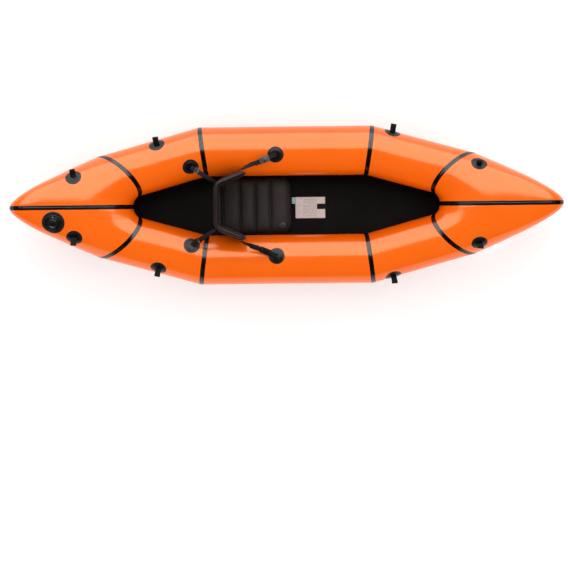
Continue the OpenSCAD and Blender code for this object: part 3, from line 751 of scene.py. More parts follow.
def end_panel(corner, label):
    phi = np.arange(0, 360, 2.5)
    share = np.linspace(0, 1, 64)
    t = (0.45 * share + 0.55 * (share**2 * (3 - 2 * share)))[:, None] + 0 * phi[None, :]
    points = end_at(t, np.broadcast_to(phi, t.shape))
    ring_gap = np.linalg.norm(points - points[:1], axis=-1)
    keel_gap = np.linalg.norm(points - points[-1:], axis=-1)
    keel_run = run_along(keel_at(np.append(phi, 360.0)))
    keel_arc = (keel_run[1:] - keel_run[1])[None, :]
    relief = seam_relief(ring_gap, TUBE_R * np.radians(phi)[None, :], 4.0 - corner[0], 0.0005)
    face = np.cos(np.radians(phi + 8))
    raked = np.clip((face - 0.62) / 0.3, 0, 1)[None, :]
    gathers = 0.0004 + (0.0030 if corner[0] < 0 else 0.0010) * raked
    scallop = np.abs(np.sin(keel_arc / 0.0072)) - 0.6
    relief += -0.0016 * np.exp(-((keel_gap / 0.012) ** 2)) + gathers * scallop * np.exp(-keel_gap / 0.026)
    relief += 0.0016 * bumpiness(points, 0.13, 9 + 3 * corner[0]) * np.clip(keel_gap / 0.05, 0, 1)
    return panel(label, points, relief, corner)


def air_tube():
    pieces = [mid_panel(1), mid_panel(-1)]
    for label, corner in CORNERS.items():
        pieces.append(end_panel(corner, label))
        quarter = label.replace("bow", "fore_quarter").replace("stern", "aft_quarter")
        pieces.append(quarter_panel(corner, quarter))
    return pieces


TUBES = air_tube()


def skin_tree(objects):
    verts, faces = [], []
    for o in objects:
        faces += [[len(verts) + i for i in p.vertices] for p in o.data.polygons]
        verts += [v.co.copy() for v in o.data.vertices]
    return BVHTree.FromPolygons(verts, faces)


SKIN = skin_tree(TUBES)
END_CORE = (0.97, 0.06, 0.14)      # a point well inside each end: x, the most that y can be, and z


def outward(point, normal):
    """The skin's normal, turned away from the tube's own centre line."""
    x, y = abs(point.x), abs(point.y)
    if x < MID_X:
        centre = Vector((point.x, math.copysign(TUBE_Y, point.y), AXIS_Z))
    elif x < HULL_LENGTH / 2 - END_REACH:
        along = (x - MID_X) / QA[0]
        centre = Vector((point.x, math.copysign(TUBE_Y + QA[1] * along, point.y), AXIS_Z + QA[2] * along))
    else:
        across = math.copysign(min(y * 0.5, END_CORE[1]), point.y)
        centre = Vector((math.copysign(END_CORE[0], point.x), across, END_CORE[2]))
    return normal if normal.dot(point - centre) > 0 else -normal


def lay(points, lift):
    """Moves points onto the hull's skin, lift above it."""
    shape = points.shape
    lifts = np.broadcast_to(lift, shape[:-1]).ravel()
    out = []
    for p, h in zip(points.reshape(-1, 3), lifts):
        hit, normal, _, _ = SKIN.find_nearest(Vector(p))
        out.append(hit + outward(hit, normal) * float(h))
    return np.array(out).reshape(shape)


# ---- Seam tapes: strips laid on the skin ----
TAPE_PROFILE = (
    (-1.0, 0.0), (-0.97, 0.6), (-0.8, 1.0), (-0.4, 1.0), (-0.08, 1.05), (0.0, 1.5),
    (0.08, 1.05), (0.4, 1.0), (0.8, 1.0), (0.97, 0.6), (1.0, 0.0),
)


def strip_on_skin(name, centre, side, corner, seed):
    """Closed strip of tape along centre, reaching half its width to each side along the side vectors."""
    n = len(centre)
    wander = 0.0005 * np.array([noise.noise(Vector((k * 0.13, seed, 0.5))) for k in range(n)])
    rings = []
    for share, lift in [(s, h * TAPE_T + 0.0001) for s, h in TAPE_PROFILE] + [
            (s, -0.0002) for s, _ in reversed(TAPE_PROFILE[1:-1:3])]:
        row = centre + side * (share * TAPE_W / 2 + wander)[:, None]
        rings.append(lay(place(row, corner), lift))
    return tube_mesh(name, np.stack(rings, 1), M["tape"])


def join(name, objects):
    """Joins objects into one piece."""
    first = objects[0]
    with bpy.context.temp_override(active_object=first, selected_editable_objects=objects, object=first):
        bpy.ops.object.join()
    first.name = first.data.name = name
    return first


def mid_tapes():
    centre = mitre_at(np.linspace(-66, 246, 180))
    side = np.broadcast_to(MITRE_N, centre.shape)
    strips = [strip_on_skin("mid_tape", centre, side, c, k) for k, c in enumerate(CORNERS.values())]
    finish_piece(join("mid_ring_tape", strips), "hull", "seam_tape", "mid_ring_tapes")


def ring_tapes(end, label):
    phi = np.linspace(-62, 252, 220)
    centre = ring_at(phi)
    side = unit(np.cross(unit(np.gradient(centre, axis=0)), quarter_round(phi)))
    strips = [strip_on_skin("ring_tape", centre, side, (end, s), 3 + end) for s in SIDES]
    finish_piece(join(label + "_ring_tape", strips), "hull", "seam_tape", label + "_ring_tapes")


def centre_tape(end, label):
    centre = keel_at(np.linspace(-42, 205, 320))
    side = np.broadcast_to([0.0, 1.0, 0.0], centre.shape)
    strip = strip_on_skin(label + "_keel_tape", centre, side, (end, 1), 8 + end)
    finish_piece(strip, "hull", "seam_tape", label + "_centre_tape")


mid_tapes()
for END, LABEL in ((1, "bow"), (-1, "stern")):
    ring_tapes(END, LABEL)
    centre_tape(END, LABEL)


EDGE_LIFT = (0.0, 0.75, 1.0, 1.0, 1.0, 1.0, 1.0, 0.75, 0.0)


def edge_strip_rows():
    """Points of the floor fabric's wrap round one side, row by row from the stern to the bow."""
    share = np.linspace(0, 1, len(EDGE_LIFT))
    first = FLOOR_PHI + 2
    phi = first + 20 * share
    mitre = mitre_at(phi)
    rows = [mid_at(mitre[:, 0] * f, phi) for f in np.linspace(0, 1, 14)[:-1]]
    start, stop = quarter_from_mitre(phi), ring_at(phi)
    rows += [start * (1 - f) + stop * f for f in np.linspace(0.0, 0.985, 26)]
    for t in np.linspace(0.02, 0.93, 40):
        rows.append(end_at(t + 0 * share, first + 38 * t + (1 + 19 * (1 - t)) * share))
    fore = np.array(rows)
    return np.concatenate([place(fore[:0:-1], (-1, 1)), fore])


def floor_edges():
    for side, label in SIDES.items():
        rows = place(edge_strip_rows(), (1, side))
        top = lay(rows, np.array(EDGE_LIFT) * TAPE_T + 0.0001)
        under = lay(rows[:, ::-4], -0.0002)
        strip = tube_mesh("floor_edge_strip_" + label, np.concatenate([top, under], 1), M["tape"])
        finish_piece(strip, "hull", "floor_fabric", "floor_edge_" + label)


floor_edges()


# ---- Floor ----
def floor_outline():
    """Half width of the floor sheet as points of x and y, from amidships to the tip."""
    points = [mid_at(0, FLOOR_PHI)]
    points += [quarter_at(s, FLOOR_PHI) for s in np.linspace(0, QUARTER_L, 12)]
    points += [end_at(t, FLOOR_PHI + 38 * t) for t in np.linspace(0.04, 1, 24)]
    half = np.array(points)
    return half[:, 0], np.maximum(half[:, 1], 0)


FLOOR_X, FLOOR_Y = floor_outline()
WELDS = (0.0435, 0.0545)


def floor_relief(x, y):
    """Height of the loose floor fabric above its flat top, clear of the tubes."""
    folds = np.maximum(bumpiness(xyz(x, y * 0.25, 0), 0.022, 21), -0.1)
    folds = folds * np.exp(-(((x - 0.09) / 0.16) ** 2)) * 0.0022
    soft = 0.0009 * (1 + bumpiness(xyz(x, y, 0), 0.11, 22))
    welds = sum(0.0022 * np.exp(-(((x - w - 0.004 * np.sin(9 * y)) / 0.0022) ** 2)) for w in WELDS)
    half = np.interp(np.abs(x), FLOOR_X, FLOOR_Y)
    room = np.clip((half - 0.085 - np.abs(y)) / 0.06, 0, 1)
    return (folds + soft + welds + 0.0002) * room


def floor_sheet():
    reach = FLOOR_X[-1]
    x = np.linspace(-reach, reach, 560)[:, None]
    half = np.interp(np.abs(x), FLOOR_X, np.maximum(FLOOR_Y, 0.002))
    y = half * np.linspace(-1, 1, 81)[None, :]
    top = xyz(x, y, np.maximum(FLOOR_T + floor_relief(x, y) - 0.0001, 0.0008))
    sheet = tube_mesh("cockpit_floor", np.concatenate([top, xyz(x, y, 0)[:, ::-8]], 1), M["floor"])
    finish_piece(sheet, "hull", "floor_fabric", "floor_sheet", "floor_stern_sheet")
    area = 2 * float(np.sum((FLOOR_Y[1:] + FLOOR_Y[:-1]) * np.diff(FLOOR_X)))
    width = 2 * FLOOR_Y.max()
    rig.sheet(sheet, flat=(width, 2 * reach), held="stretched", area=area, rests_on=["floor_edge_port"])


floor_sheet()


# ---- Ribbons of webbing ----
RIBBON_SECTION = (
    (-1, 0), (-0.95, 0.5), (-0.5, 0.5), (0, 0.5), (0.5, 0.5), (0.95, 0.5),
    (1, 0), (0.95, -0.5), (0.5, -0.5), (0, -0.5), (-0.5, -0.5), (-0.95, -0.5),
)


def ribbon(name, centre, side, width, thick, material=None):
    """Flat webbing along centre, spread along side; UV runs in metres for the weave."""
    tangent = unit(np.gradient(centre, axis=0))
    side = unit(side - np.sum(side * tangent, -1, keepdims=True) * tangent)
    up = np.cross(tangent, side)
    rings = np.stack([centre + side * (a * width / 2) + up * (b * thick) for a, b in RIBBON_SECTION], 1)
    lanes = np.array([a * width / 2 + (0.1 if b < 0 else 0) for a, b in RIBBON_SECTION])
    run = run_along(centre)[:, None]
    uv = np.stack([run + 0 * lanes, lanes + 0 * run], -1)
    return tube_mesh(name, rings, material or M["webbing"], uv)


def smooth_path(points, count):
    """Smooth line through a few points of any width, resampled."""
    p = np.asarray(points, float)
    p = np.vstack([2 * p[0] - p[1], p, 2 * p[-1] - p[-2]])
    q = np.linspace(0, len(p) - 3 - 1e-9, count)
    i = q.astype(int)
    return catmull_rom(*(p[i + k] for k in range(4)), (q - i)[:, None])


def stitches(name, path, up, stitch=0.0034, pitch=0.0048, radius=0.00035):
    """Row of thread stitches standing a little out of the cloth along a path."""
    run = run_along(path)
    verts, faces = [], []
    for start in np.arange(pitch / 2, run[-1] - stitch, pitch):
        places = [start + f * stitch for f in (0, 0.25, 0.75, 1)]
        line = np.stack([np.interp(places, run, column) for column in path.T], -1)
        n = unit(np.array([np.interp(start, run, column) for column in up.T]))
        t = unit(line[-1] - line[0])
        b = np.cross(t, n)
        base = len(verts)
        for p, r in zip(line, (0.35, 1, 1, 0.35)):
            for a in np.arange(6) * math.pi / 3:
                verts.append(p + radius * r * (math.cos(a) * b + math.sin(a) * n) + n * radius * (r - 0.6))
        faces += [tuple(base + i for i in (5, 4, 3, 2, 1, 0)), tuple(base + 18 + i for i in range(6))]
        faces += grid_faces(4, 6, wrap=True, start=base)
    return face_out(mesh_object(name, verts, faces, M["thread"]))


# ---- Round patches ----
# Share of the radius and height in millimetres, from the hub outwards and back underneath
PATCH_SECTION = (
    (0.04, 2.3), (0.3, 2.3), (0.52, 2.3), (0.64, 2.25), (0.68, 2.0), (0.70, 1.35), (0.73, 1.2),
    (0.8, 1.2), (0.87, 1.05), (0.9, 1.2), (0.95, 1.15), (0.985, 0.7), (1.0, 0.1),
    (0.97, -0.3), (0.5, -0.3), (0.04, -0.3),
)
CORE_ROWS = 5
THREAD_RING = 0.57      # radius of a patch's ring of stitches, as a share of the patch's own


def cast_on_skin(point, normal, lift):
    hit, n, _, _ = SKIN.ray_cast(Vector(point + normal * 0.04), Vector(-normal), 0.08)
    if hit is None:
        hit, n, _, _ = SKIN.find_nearest(Vector(point))
    return np.array(hit + (n if n.dot(Vector(normal)) > 0 else -n) * lift)


def disc_axes(normal):
    x = unit(np.cross(normal, UP))
    return x, np.cross(normal, x)


def patch(name, point, normal, radius, spokes=72):
    x, y = disc_axes(normal)
    rings = []
    for share, lift in PATCH_SECTION:
        ring = []
        for a in np.arange(spokes) * 2 * math.pi / spokes:
            r = radius * share * (1 + 0.006 * math.sin(3 * a + 40 * point[0]))
            ring.append(cast_on_skin(point + r * (math.cos(a) * x + math.sin(a) * y), normal, lift / 1000))
        rings.append(ring)
    obj = tube_mesh(name, rings, [M["rim"], M["patch"]])
    # The inner disc's faces take the dark core colour; the outer ring keeps the lighter colour, a painted sheen.
    for k in range(CORE_ROWS * spokes):
        obj.data.polygons[k].material_index = 1
    obj.data.polygons[(len(rings) - 1) * spokes].material_index = 1
    return obj


def patch_ring_thread(name, point, normal, radius):
    x, y = disc_axes(normal)
    angle = np.linspace(0, 2 * math.pi, 90)
    path = [cast_on_skin(point + radius * (math.cos(a) * x + math.sin(a) * y), normal, 0.0025) for a in angle]
    return stitches(name, np.array(path), np.broadcast_to(normal, (90, 3)))


def sewn_patch(name, spot, corner):
    """A strap's or loop's patch and its ring of stitches, at a spot of one corner."""
    point, normal = (place(v, corner) for v in spot)
    disc = patch(name, point, normal, PATCH_D / 2)
    return disc, patch_ring_thread(name + "_ring", point, normal, THREAD_RING * PATCH_D / 2)


def mid_place(x, phi):
    return mid_at(x, phi), mid_round(phi)


def quarter_place(s, phi):
    return quarter_at(s, phi), quarter_round(phi)


def end_place(t, phi):
    e = 1e-3
    slope_t = end_at(t + e, phi) - end_at(t - e, phi)
    slope_p = end_at(t, phi + 0.5) - end_at(t, phi - 0.5)
    return end_at(t, phi), unit(np.cross(slope_p, slope_t))


FORE_QUARTER_LOOP = quarter_place(0.080, 22)
AFT_QUARTER_LOOP = quarter_place(0.188, 39)
BOW_LOOP = end_place(0.19, 50)
STERN_LOOP = end_place(0.41, 56)
AFT_STRAP = quarter_place(0.070, 119)
FORE_STRAP = mid_place(-0.047, 100)
VALVE = end_place(0.73, 64.5)

# Name, place, lean from upright, and for each side (corner, extra lean, twist), in degrees
LOOPS = (
    ("fore_quarter", FORE_QUARTER_LOOP, 62, ((1, 1), 6, 7), ((1, -1), -4, -9)),
    ("aft_quarter", AFT_QUARTER_LOOP, 48, ((-1, 1), 9, -6), ((-1, -1), 16, 8)),
    ("bow", BOW_LOOP, 30, ((1, 1), -14, 12), ((1, -1), 4, -14)),
    ("stern", STERN_LOOP, 40, ((-1, 1), 18, 10), ((-1, -1), 14, -5)),
)
LOOP_W = 0.025
LOOP_REACH = 0.039
TACK_ROWS = (0.0062, 0.0088)      # heights of a loop's rows of stitches over its patch
WEBBING_T = 0.0016


def webbing_loop(name, point, normal, roll, corner, lean, twist):
    """Loop of webbing out of a slot in its patch; both layers lie close and open towards the end."""
    up_angle, yaw = math.radians(roll + lean), 0.55 * math.atan2(normal[0], normal[1])
    forward = np.array([math.cos(yaw), -math.sin(yaw), 0])
    outward_dir = np.array([math.sin(yaw), math.cos(yaw), 0])
    up = math.sin(up_angle) * outward_dir + math.cos(up_angle) * np.array([0.0, 0.0, 1.0])
    across = np.cross(forward, up)
    height = np.linspace(-0.003, LOOP_REACH - 0.005, 16)
    gape = 0.0014 + 0.0034 * np.clip((height - 0.006) / 0.022, 0, 1) ** 1.5
    bend = 0.0016 * np.sin(height / LOOP_REACH * 3.0 + twist)
    arc = np.linspace(0, math.pi, 12)[1:-1]
    u = np.concatenate([height, height[-1] + 0.0048 * np.sin(arc), height[::-1]])
    v = np.concatenate([-gape, -gape[-1] * np.cos(arc), gape[::-1]])
    v = v + np.concatenate([bend, np.full(len(arc), bend[-1]), bend[::-1]])
    turn = math.radians(twist) * np.clip(u / LOOP_REACH, 0, 1)
    opening = np.cos(turn)[:, None] * across - np.sin(turn)[:, None] * forward
    centre = point + u[:, None] * up + v[:, None] * opening
    side = np.cos(turn)[:, None] * forward + np.sin(turn)[:, None] * across
    loop = ribbon(name, place(centre, corner), place(side, corner), LOOP_W, WEBBING_T)
    rows = [loop]
    for h in TACK_ROWS:
        g = 0.0016 + WEBBING_T / 2
        corners = [(s, x) for s in (1, -1) for x in (-0.0105, 0.0105)]
        ends = np.array([point + h * up + g * across * s + forward * x for s, x in corners])
        for s in (0, 2):
            path = place(np.linspace(ends[s], ends[s + 1], 12), corner)
            out = np.broadcast_to(place(across * (1 if s == 0 else -1), corner), path.shape)
            rows.append(stitches(name + "_tack", path, out, 0.0022, 0.0029, 0.0003))
    return rows


def loops_and_patches():
    quarter, end, loops, threads = [], [], [], []
    for kind, (point, normal), roll, *sides in LOOPS:
        for corner, lean, twist in sides:
            disc, thread = sewn_patch("loop_patch", (point, normal), corner)
            (quarter if "quarter" in kind else end).append(disc)
            loop, *tacks = webbing_loop("loop", point, normal, roll, corner, lean, twist)
            loops.append(loop)
            threads += [thread, *tacks]
    finish_piece(join("quarter_loop_disc", quarter), "hull", "patch_fabric", "quarter_loop_patches")
    finish_piece(join("end_loop_disc", end), "hull", "patch_fabric", "end_loop_patches")
    finish_piece(join("lashing_loops", loops), "hull", "webbing", "webbing_loops")
    finish_piece(join("loop_threads", threads), "hull", "webbing")


loops_and_patches()


def strap_discs():
    made = [sewn_patch("strap_patch", spot, (end, side))
            for spot, end in ((FORE_STRAP, 1), (AFT_STRAP, -1)) for side in SIDES]
    discs, threads = map(list, zip(*made))
    finish_piece(join("strap_discs", discs), "hull", "patch_fabric", "strap_patches")
    finish_piece(join("strap_disc_threads", threads), "hull", "webbing")


strap_discs()


# ---- Turned parts ----
class Spot:
    """A local frame: rows of axes are along, across and up."""

    def __init__(self, origin, axes, corner=(1, 1)):
        self.origin, self.axes, self.corner = np.asarray(origin, float), np.asarray(axes, float), corner

    def __call__(self, local):
        return place(self.origin + np.asarray(local, float) @ self.axes, self.corner)

    def turn(self, local):
        return place(np.asarray(local, float) @ self.axes, self.corner)


def facing(origin, normal, corner=(1, 1)):
    tilt, turn = math.acos(normal[2]), math.atan2(normal[1], normal[0])
    x = np.array([math.cos(turn) * math.cos(tilt), math.sin(turn) * math.cos(tilt), -math.sin(tilt)])
    return Spot(origin, [x, np.cross(normal, x), normal], corner)


def lathe(name, section, spot, material, grooves, groove_from, depth, steps):
    """Turned solid from (radius, height) in millimetres; radii beyond groove_from get grip grooves."""
    angle = np.arange(steps) * 2 * math.pi / steps
    rings = []
    for r, z in section:
        cut = depth * np.clip(np.cos(grooves * angle), 0, 1) ** 3 if r > groove_from else 0
        radius = np.maximum(r - cut, 0.02)
        rings.append(spot(xyz(radius * np.cos(angle), radius * np.sin(angle), z) / 1000))
    return tube_mesh(name, rings, material)


def ring_section(outer, inner, low, high, soft):
    """Closed ring with softened rims, as a section for lathe that starts and ends on the same point."""
    return (
        (inner, low + soft), (inner + soft, low), (outer - soft, low), (outer, low + soft),
        (outer, high - soft), (outer - soft, high), (inner + soft, high),
        (inner, high - soft), (inner, low + soft),
    )


def turned_ring(name, sections, spot, material, steps=72):
    """Rings of the given closed sections, in millimetres, as one object."""
    angle = np.arange(steps) * 2 * math.pi / steps
    circle = xyz(np.cos(angle), np.sin(angle), 0)
    parts = []
    for section in sections:
        rings = [spot((r * circle + [0, 0, z]) / 1000) for r, z in section[:-1]]
        parts.append(face_out(mesh_object(name, rings, loop_faces(len(rings), steps), material)))
    return join(name, parts) if len(parts) > 1 else parts[0]


def soften(node, name, material, slot, body, width, segments=2):
    """A copy of a CAD node's mesh with its hard edges rounded."""
    bm = bmesh.new()
    bm.from_mesh(frame["nodes"][node].data)
    bmesh.ops.remove_doubles(bm, verts=bm.verts, dist=1e-6)
    bmesh.ops.dissolve_limit(bm, angle_limit=math.radians(1), verts=bm.verts, edges=bm.edges)
    sharp = [e for e in bm.edges if len(e.link_faces) == 2 and e.calc_face_angle(0) > math.radians(28)]
    bmesh.ops.bevel(
        bm, geom=sharp, offset=width, segments=segments, profile=0.6, affect="EDGES", clamp_overlap=True)
    return finish_piece(bmesh_object(name, bm, material, 32), body, slot, node)


def keep_node(node, material):
    """Leaves a CAD node showing, in a finished material."""
    mesh = frame["nodes"][node].data
    mesh.materials.clear()
    mesh.materials.append(material)


# ---- Inflation valve ----
VALVE_SPOT = facing(*VALVE, corner=(-1, -1))
CAP_SECTION = (
    (0.02, 21.6), (8, 21.6), (9.2, 21.2), (12.4, 21.2), (13.4, 22.4), (15, 23.7), (17, 24.3), (18.6, 24.0),
    (19.3, 23.0), (19.5, 21.5), (19.5, 17.5), (19.3, 15.6), (18.4, 14.7), (14.2, 14.5), (14, 11.75),
    (10.6, 11.7), (10.6, 5), (9.9, 4.1), (0.02, 4.0),
)


def valve():
    point, normal = (place(v, (-1, -1)) for v in VALVE)
    finish_piece(patch("valve_disc", point, normal, 0.050, 96), "hull", "patch_fabric", "valve_patch")
    thread = patch_ring_thread("valve_disc_thread", point, normal, 0.0305)
    finish_piece(thread, "hull", "webbing")
    base = turned_ring("valve_neck", (
        ring_section(27, 15.5, 1.5, 4.5, 0.9),
        ring_section(19, 15.5, -14, 9, 0.6),
        ring_section(20.2, 18.4, 6.2, 8.2, 0.5),
    ), VALVE_SPOT, M["valve"])
    finish_piece(base, "hull", "valve_plastic", "valve_base")
    cap = lathe("valve_screw_cap", CAP_SECTION, VALVE_SPOT, M["valve"], 20, 18.9, 1.1, 160)
    finish_piece(cap, "valve_cap", "valve_plastic", "valve_cap")
    bar, angle = [], np.linspace(0, math.pi, 11)
    for x in np.linspace(-1, 1, 17):
        w, h = 2.6 * (1 - 0.35 * x * x), 2.6 * (1 - x**4) ** 0.5 + 0.05
        arch = xyz(12.3 * x, w * np.cos(angle), 21.2 + h * np.sin(angle))
        bar.append(VALVE_SPOT(np.vstack([arch, [12.3 * x, 0, 20.9]]) / 1000))
    grip = tube_mesh("valve_cap_grip", bar, M["valve"])
    finish_piece(grip, "valve_cap", "valve_plastic")
    soften("valve_insert", "valve_core", M["valve"], "valve_plastic", "hull", 0.0003)
    soften("cap_ring", "cap_keeper_ring", M["rubber"], "valve_rubber", "cap_ring", 0.0003)
    keep_node("valve_flap", M["rubber"])


def cap_tether():
    angle = np.radians(np.linspace(-92, 92, 30))
    x, z = -27 - 4.6 * np.cos(angle), 8.2 + 4.6 * np.sin(angle)
    x = np.concatenate([[-25.5], x, [-24.5]])
    z = np.concatenate([[3.6], z, [12.8]])
    centre = VALVE_SPOT(xyz(x, 0, z) / 1000)
    side = np.broadcast_to(VALVE_SPOT.turn([0.0, 1.0, 0.0]), centre.shape)
    tether = ribbon("cap_tether_strap", centre, side, 0.006, 0.0018, M["rubber"])
    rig.blend(tether, "hull", "cap_ring", VALVE_SPOT([-0.027, 0, 0.0036]), VALVE_SPOT([-0.027, 0, 0.0128]))
    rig.slot(tether, "valve_rubber")
    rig.replaces(tether, "cap_tether")


valve()
cap_tether()


# ---- Padded pieces ----
CLOTH_FRAMES = 20


def inflate(obj, pressure, pinned, cap):
    """Blows a closed mesh up with the cloth solver; pinned vertices stay, others move by at most cap."""
    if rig.quick():
        return
    group = obj.vertex_groups.new(name="pinned")
    group.add([int(i) for i in pinned], 1.0, "REPLACE")
    rest = vertices(obj)
    cloth = obj.modifiers.new("inflate", "CLOTH")
    settings = cloth.settings
    settings.quality = 6
    settings.mass = 0.25
    settings.tension_stiffness = settings.compression_stiffness = 12
    settings.shear_stiffness = 6
    settings.bending_stiffness = 0.35
    settings.use_pressure = True
    settings.uniform_pressure_force = pressure
    settings.effector_weights.gravity = 0
    settings.vertex_group_mass = "pinned"
    cloth.point_cache.frame_end = CLOTH_FRAMES
    for f in range(1, CLOTH_FRAMES + 1):
        bpy.context.scene.frame_set(f)
    solved = obj.evaluated_get(bpy.context.evaluated_depsgraph_get())
    moved = np.array([v.co for v in solved.data.vertices])
    obj.modifiers.clear()
    obj.vertex_groups.clear()
    bpy.context.scene.frame_set(1)
    step = moved - rest
    length = np.linalg.norm(step, axis=-1, keepdims=True)
    step *= np.minimum(1, cap / np.maximum(length, 1e-9))
    move_vertices(obj, rest + step)


def pillow(name, top, bottom, material):
    """Closed mesh from two grids that meet along their edges."""
    rows, cols = top.shape[:2]
    faces = grid_faces(rows, cols) + grid_faces(rows, cols, flip=True, start=rows * cols)
    return face_out(mesh_object(name, np.stack([top, bottom]), faces, material), 1e-5)


def subdivide(obj):
    modifier = obj.modifiers.new("smooth", "SUBSURF")
    modifier.levels = modifier.render_levels = 1
    with bpy.context.temp_override(object=obj, active_object=obj):
        bpy.ops.object.modifier_apply(modifier=modifier.name)


SEAT_LOW, SEAT_HIGH = (np.array(v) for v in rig.box("seat_cushion"))
CHANNELS = SEAT_LOW[0] + 0.077 + 0.069 * np.arange(3)
SEAT_MARKS = np.concatenate([[SEAT_LOW[0]], CHANNELS, [SEAT_HIGH[0]]])
SEAT_SEAM = SEAT_LOW[2] + 0.018
SEAT_CORNER = 0.042
# Section of the welded rim: distance outwards and height, in metres
SEAT_RIM = (
    (-0.004, 0.0012), (0.0, 0.0011), (0.0042, 0.0007), (0.0046, 0.0),
    (0.0042, -0.0007), (0.0, -0.0011), (-0.004, -0.0012),
)


def seat_crown(x, y, half):
    """Height of the seat's top: four chambers between three sewn channels."""
    sewn = SEAT_SEAM + 0.016
    feet = np.array([SEAT_SEAM, sewn, sewn, sewn, SEAT_SEAM])
    k = np.clip(np.searchsorted(SEAT_MARKS, x, side="right") - 1, 0, 3)
    f = (x - SEAT_MARKS[k]) / (SEAT_MARKS[k + 1] - SEAT_MARKS[k])
    foot = feet[k] * (1 - f) + feet[k + 1] * f
    arch = (1 - np.abs(2 * f - 1) ** 2.4) ** (1 / 2.2)
    top = foot + (SEAT_HIGH[2] - 0.005 - foot) * arch
    return SEAT_SEAM + (top - SEAT_SEAM) * (1 - np.abs(y / half) ** 5) ** (1 / 2.0)


def channel_gap(co):
    return np.min(np.abs(co[:, 0:1] - CHANNELS[None, :]), axis=1)


def seat():
    cells = [np.linspace(a, b, max(8, round((b - a) / 0.0045))) for a, b in zip(SEAT_MARKS, SEAT_MARKS[1:])]
    line = np.unique(np.concatenate(cells))
    into = np.minimum(line - SEAT_LOW[0], SEAT_HIGH[0] - line)
    drop = np.clip(SEAT_CORNER - into, 0, SEAT_CORNER)
    width = SEAT_HIGH[1] - SEAT_CORNER + np.sqrt(np.maximum(SEAT_CORNER**2 - drop**2, 0))
    v = np.linspace(-1, 1, 57)
    v = np.sign(v) * (1 - (1 - np.abs(v)) ** 1.15)
    x, half = line[:, None] + 0 * v, width[:, None]
    y = half * v
    gap = np.minimum(into[:, None], half - np.abs(y))
    low = SEAT_LOW[2] + (SEAT_SEAM - SEAT_LOW[2]) * np.clip(1 - gap / 0.022, 0, 1) ** 2
    cushion = pillow("seat_pad", xyz(x, y, seat_crown(x, y, half)), xyz(x, y, low), M["seat"])
    co = vertices(cushion)
    rim = np.abs(co[:, 2] - SEAT_SEAM) < 1e-5
    edge = (np.interp(co[:, 0], line, width) - np.abs(co[:, 1]) < 1e-5) | (into.min() + 1e-6 > np.minimum(
        co[:, 0] - SEAT_LOW[0], SEAT_HIGH[0] - co[:, 0]))
    pinned = np.nonzero((channel_gap(co) < 0.0008) | (rim & edge) | (co[:, 2] < SEAT_LOW[2] + 1e-5))[0]
    inflate(cushion, 4.0, pinned, 0.010)
    co = vertices(cushion)
    groove = 0.0022 * np.exp(-((channel_gap(co) / 0.0022) ** 2))
    co[:, 2] -= np.where(co[:, 2] > SEAT_SEAM + 0.003, groove, 0)
    co[:, 2] += np.where(co[:, 2] > SEAT_SEAM, 0.0005 * bumpiness(co * [1, 0.35, 1], 0.02, 31), 0)
    co[:, 2] = np.clip(co[:, 2], SEAT_LOW[2], SEAT_HIGH[2] + 0.004)
    move_vertices(cushion, co)
    subdivide(cushion)
    finish_piece(cushion, "hull", "seat_fabric", "seat_cushion")
    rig.padded(cushion, fill=0.85)
    return cushion


def seat_trim(cushion):
    """Welded rim round the seat, and the stitches of its channels."""
    tree = skin_tree([cushion])
    a = np.linspace(0, math.pi / 2, 12)
    sine, cosine = SEAT_CORNER * np.sin(a), SEAT_CORNER * np.cos(a)
    front, side, back = SEAT_HIGH[0] - SEAT_CORNER, SEAT_HIGH[1] - SEAT_CORNER, SEAT_LOW[0] + SEAT_CORNER
    fore_arc = np.stack([front + sine, side + cosine], -1)
    loop = np.concatenate([
        fore_arc, fore_arc[::-1] * [1, -1],
        np.stack([back - sine, -side - cosine], -1), np.stack([back - cosine, side + sine], -1)])
    plan, even = respaced(loop, 360, closed=True)
    path = xyz(plan[:, 0], plan[:, 1], SEAT_SEAM)
    tangent = unit(np.roll(path, -1, 0) - np.roll(path, 1, 0))
    out = np.cross(tangent, UP)
    out *= np.sign(np.mean(np.sum(out * (path - path.mean(0)), -1)))
    wave = 0.0008 * np.sin(even / 0.013) * np.sin(even / 0.041)
    rings = np.stack([path + out * d + UP * (h + wave)[:, None] for d, h in SEAT_RIM], 1)
    rim = mesh_object("seat_rim", rings, loop_faces(*rings.shape[:2]), M["back"])
    finish_piece(face_out(rim), "hull", "seat_fabric")
    rows = []
    for x in CHANNELS:
        y = np.linspace(-0.104, 0.104, 60)
        hits = [tree.ray_cast(Vector((x, v, 0.09)), Vector((0, 0, -1)))[0] for v in y]
        path = np.array(hits) + [0, 0, 0.0002]
        rows.append(stitches("channel_thread", path, np.broadcast_to(UP, path.shape)))
    finish_piece(join("seat_channel_threads", rows), "hull", "seat_fabric")


def small_valve(spot, ring_name, nozzle_name, ring_body, nozzle_body, nodes):
    """Push-pull valve: a welded boot and the nozzle in it, both turned about the spot's up axis."""
    boot = (
        (4.3, 0.6), (4.3, 6.6), (4.9, 7.0), (6.6, 6.9), (7.4, 6.2), (7.9, 4.0), (9.6, 1.6),
        (13.5, 0.9), (14.4, 0.3), (14.4, -1.4), (4.3, -1.4), (4.3, 0.6),
    )
    ring = turned_ring(ring_name, (boot,), spot, M["rubber"])
    finish_piece(ring, ring_body, "valve_plastic", nodes[0])
    stem = (
        (1.6, 1.0), (3.7, 1.0), (3.9, 1.3), (3.9, 7.5), (5.6, 7.7), (6.0, 8.2), (6.0, 12.4),
        (5.5, 13.1), (4.6, 13.3), (2.2, 13.3), (1.6, 12.8), (1.6, 1.0),
    )
    nozzle = turned_ring(nozzle_name, (stem,), spot, M["valve"])
    finish_piece(nozzle, nozzle_body, "valve_plastic", nodes[1])


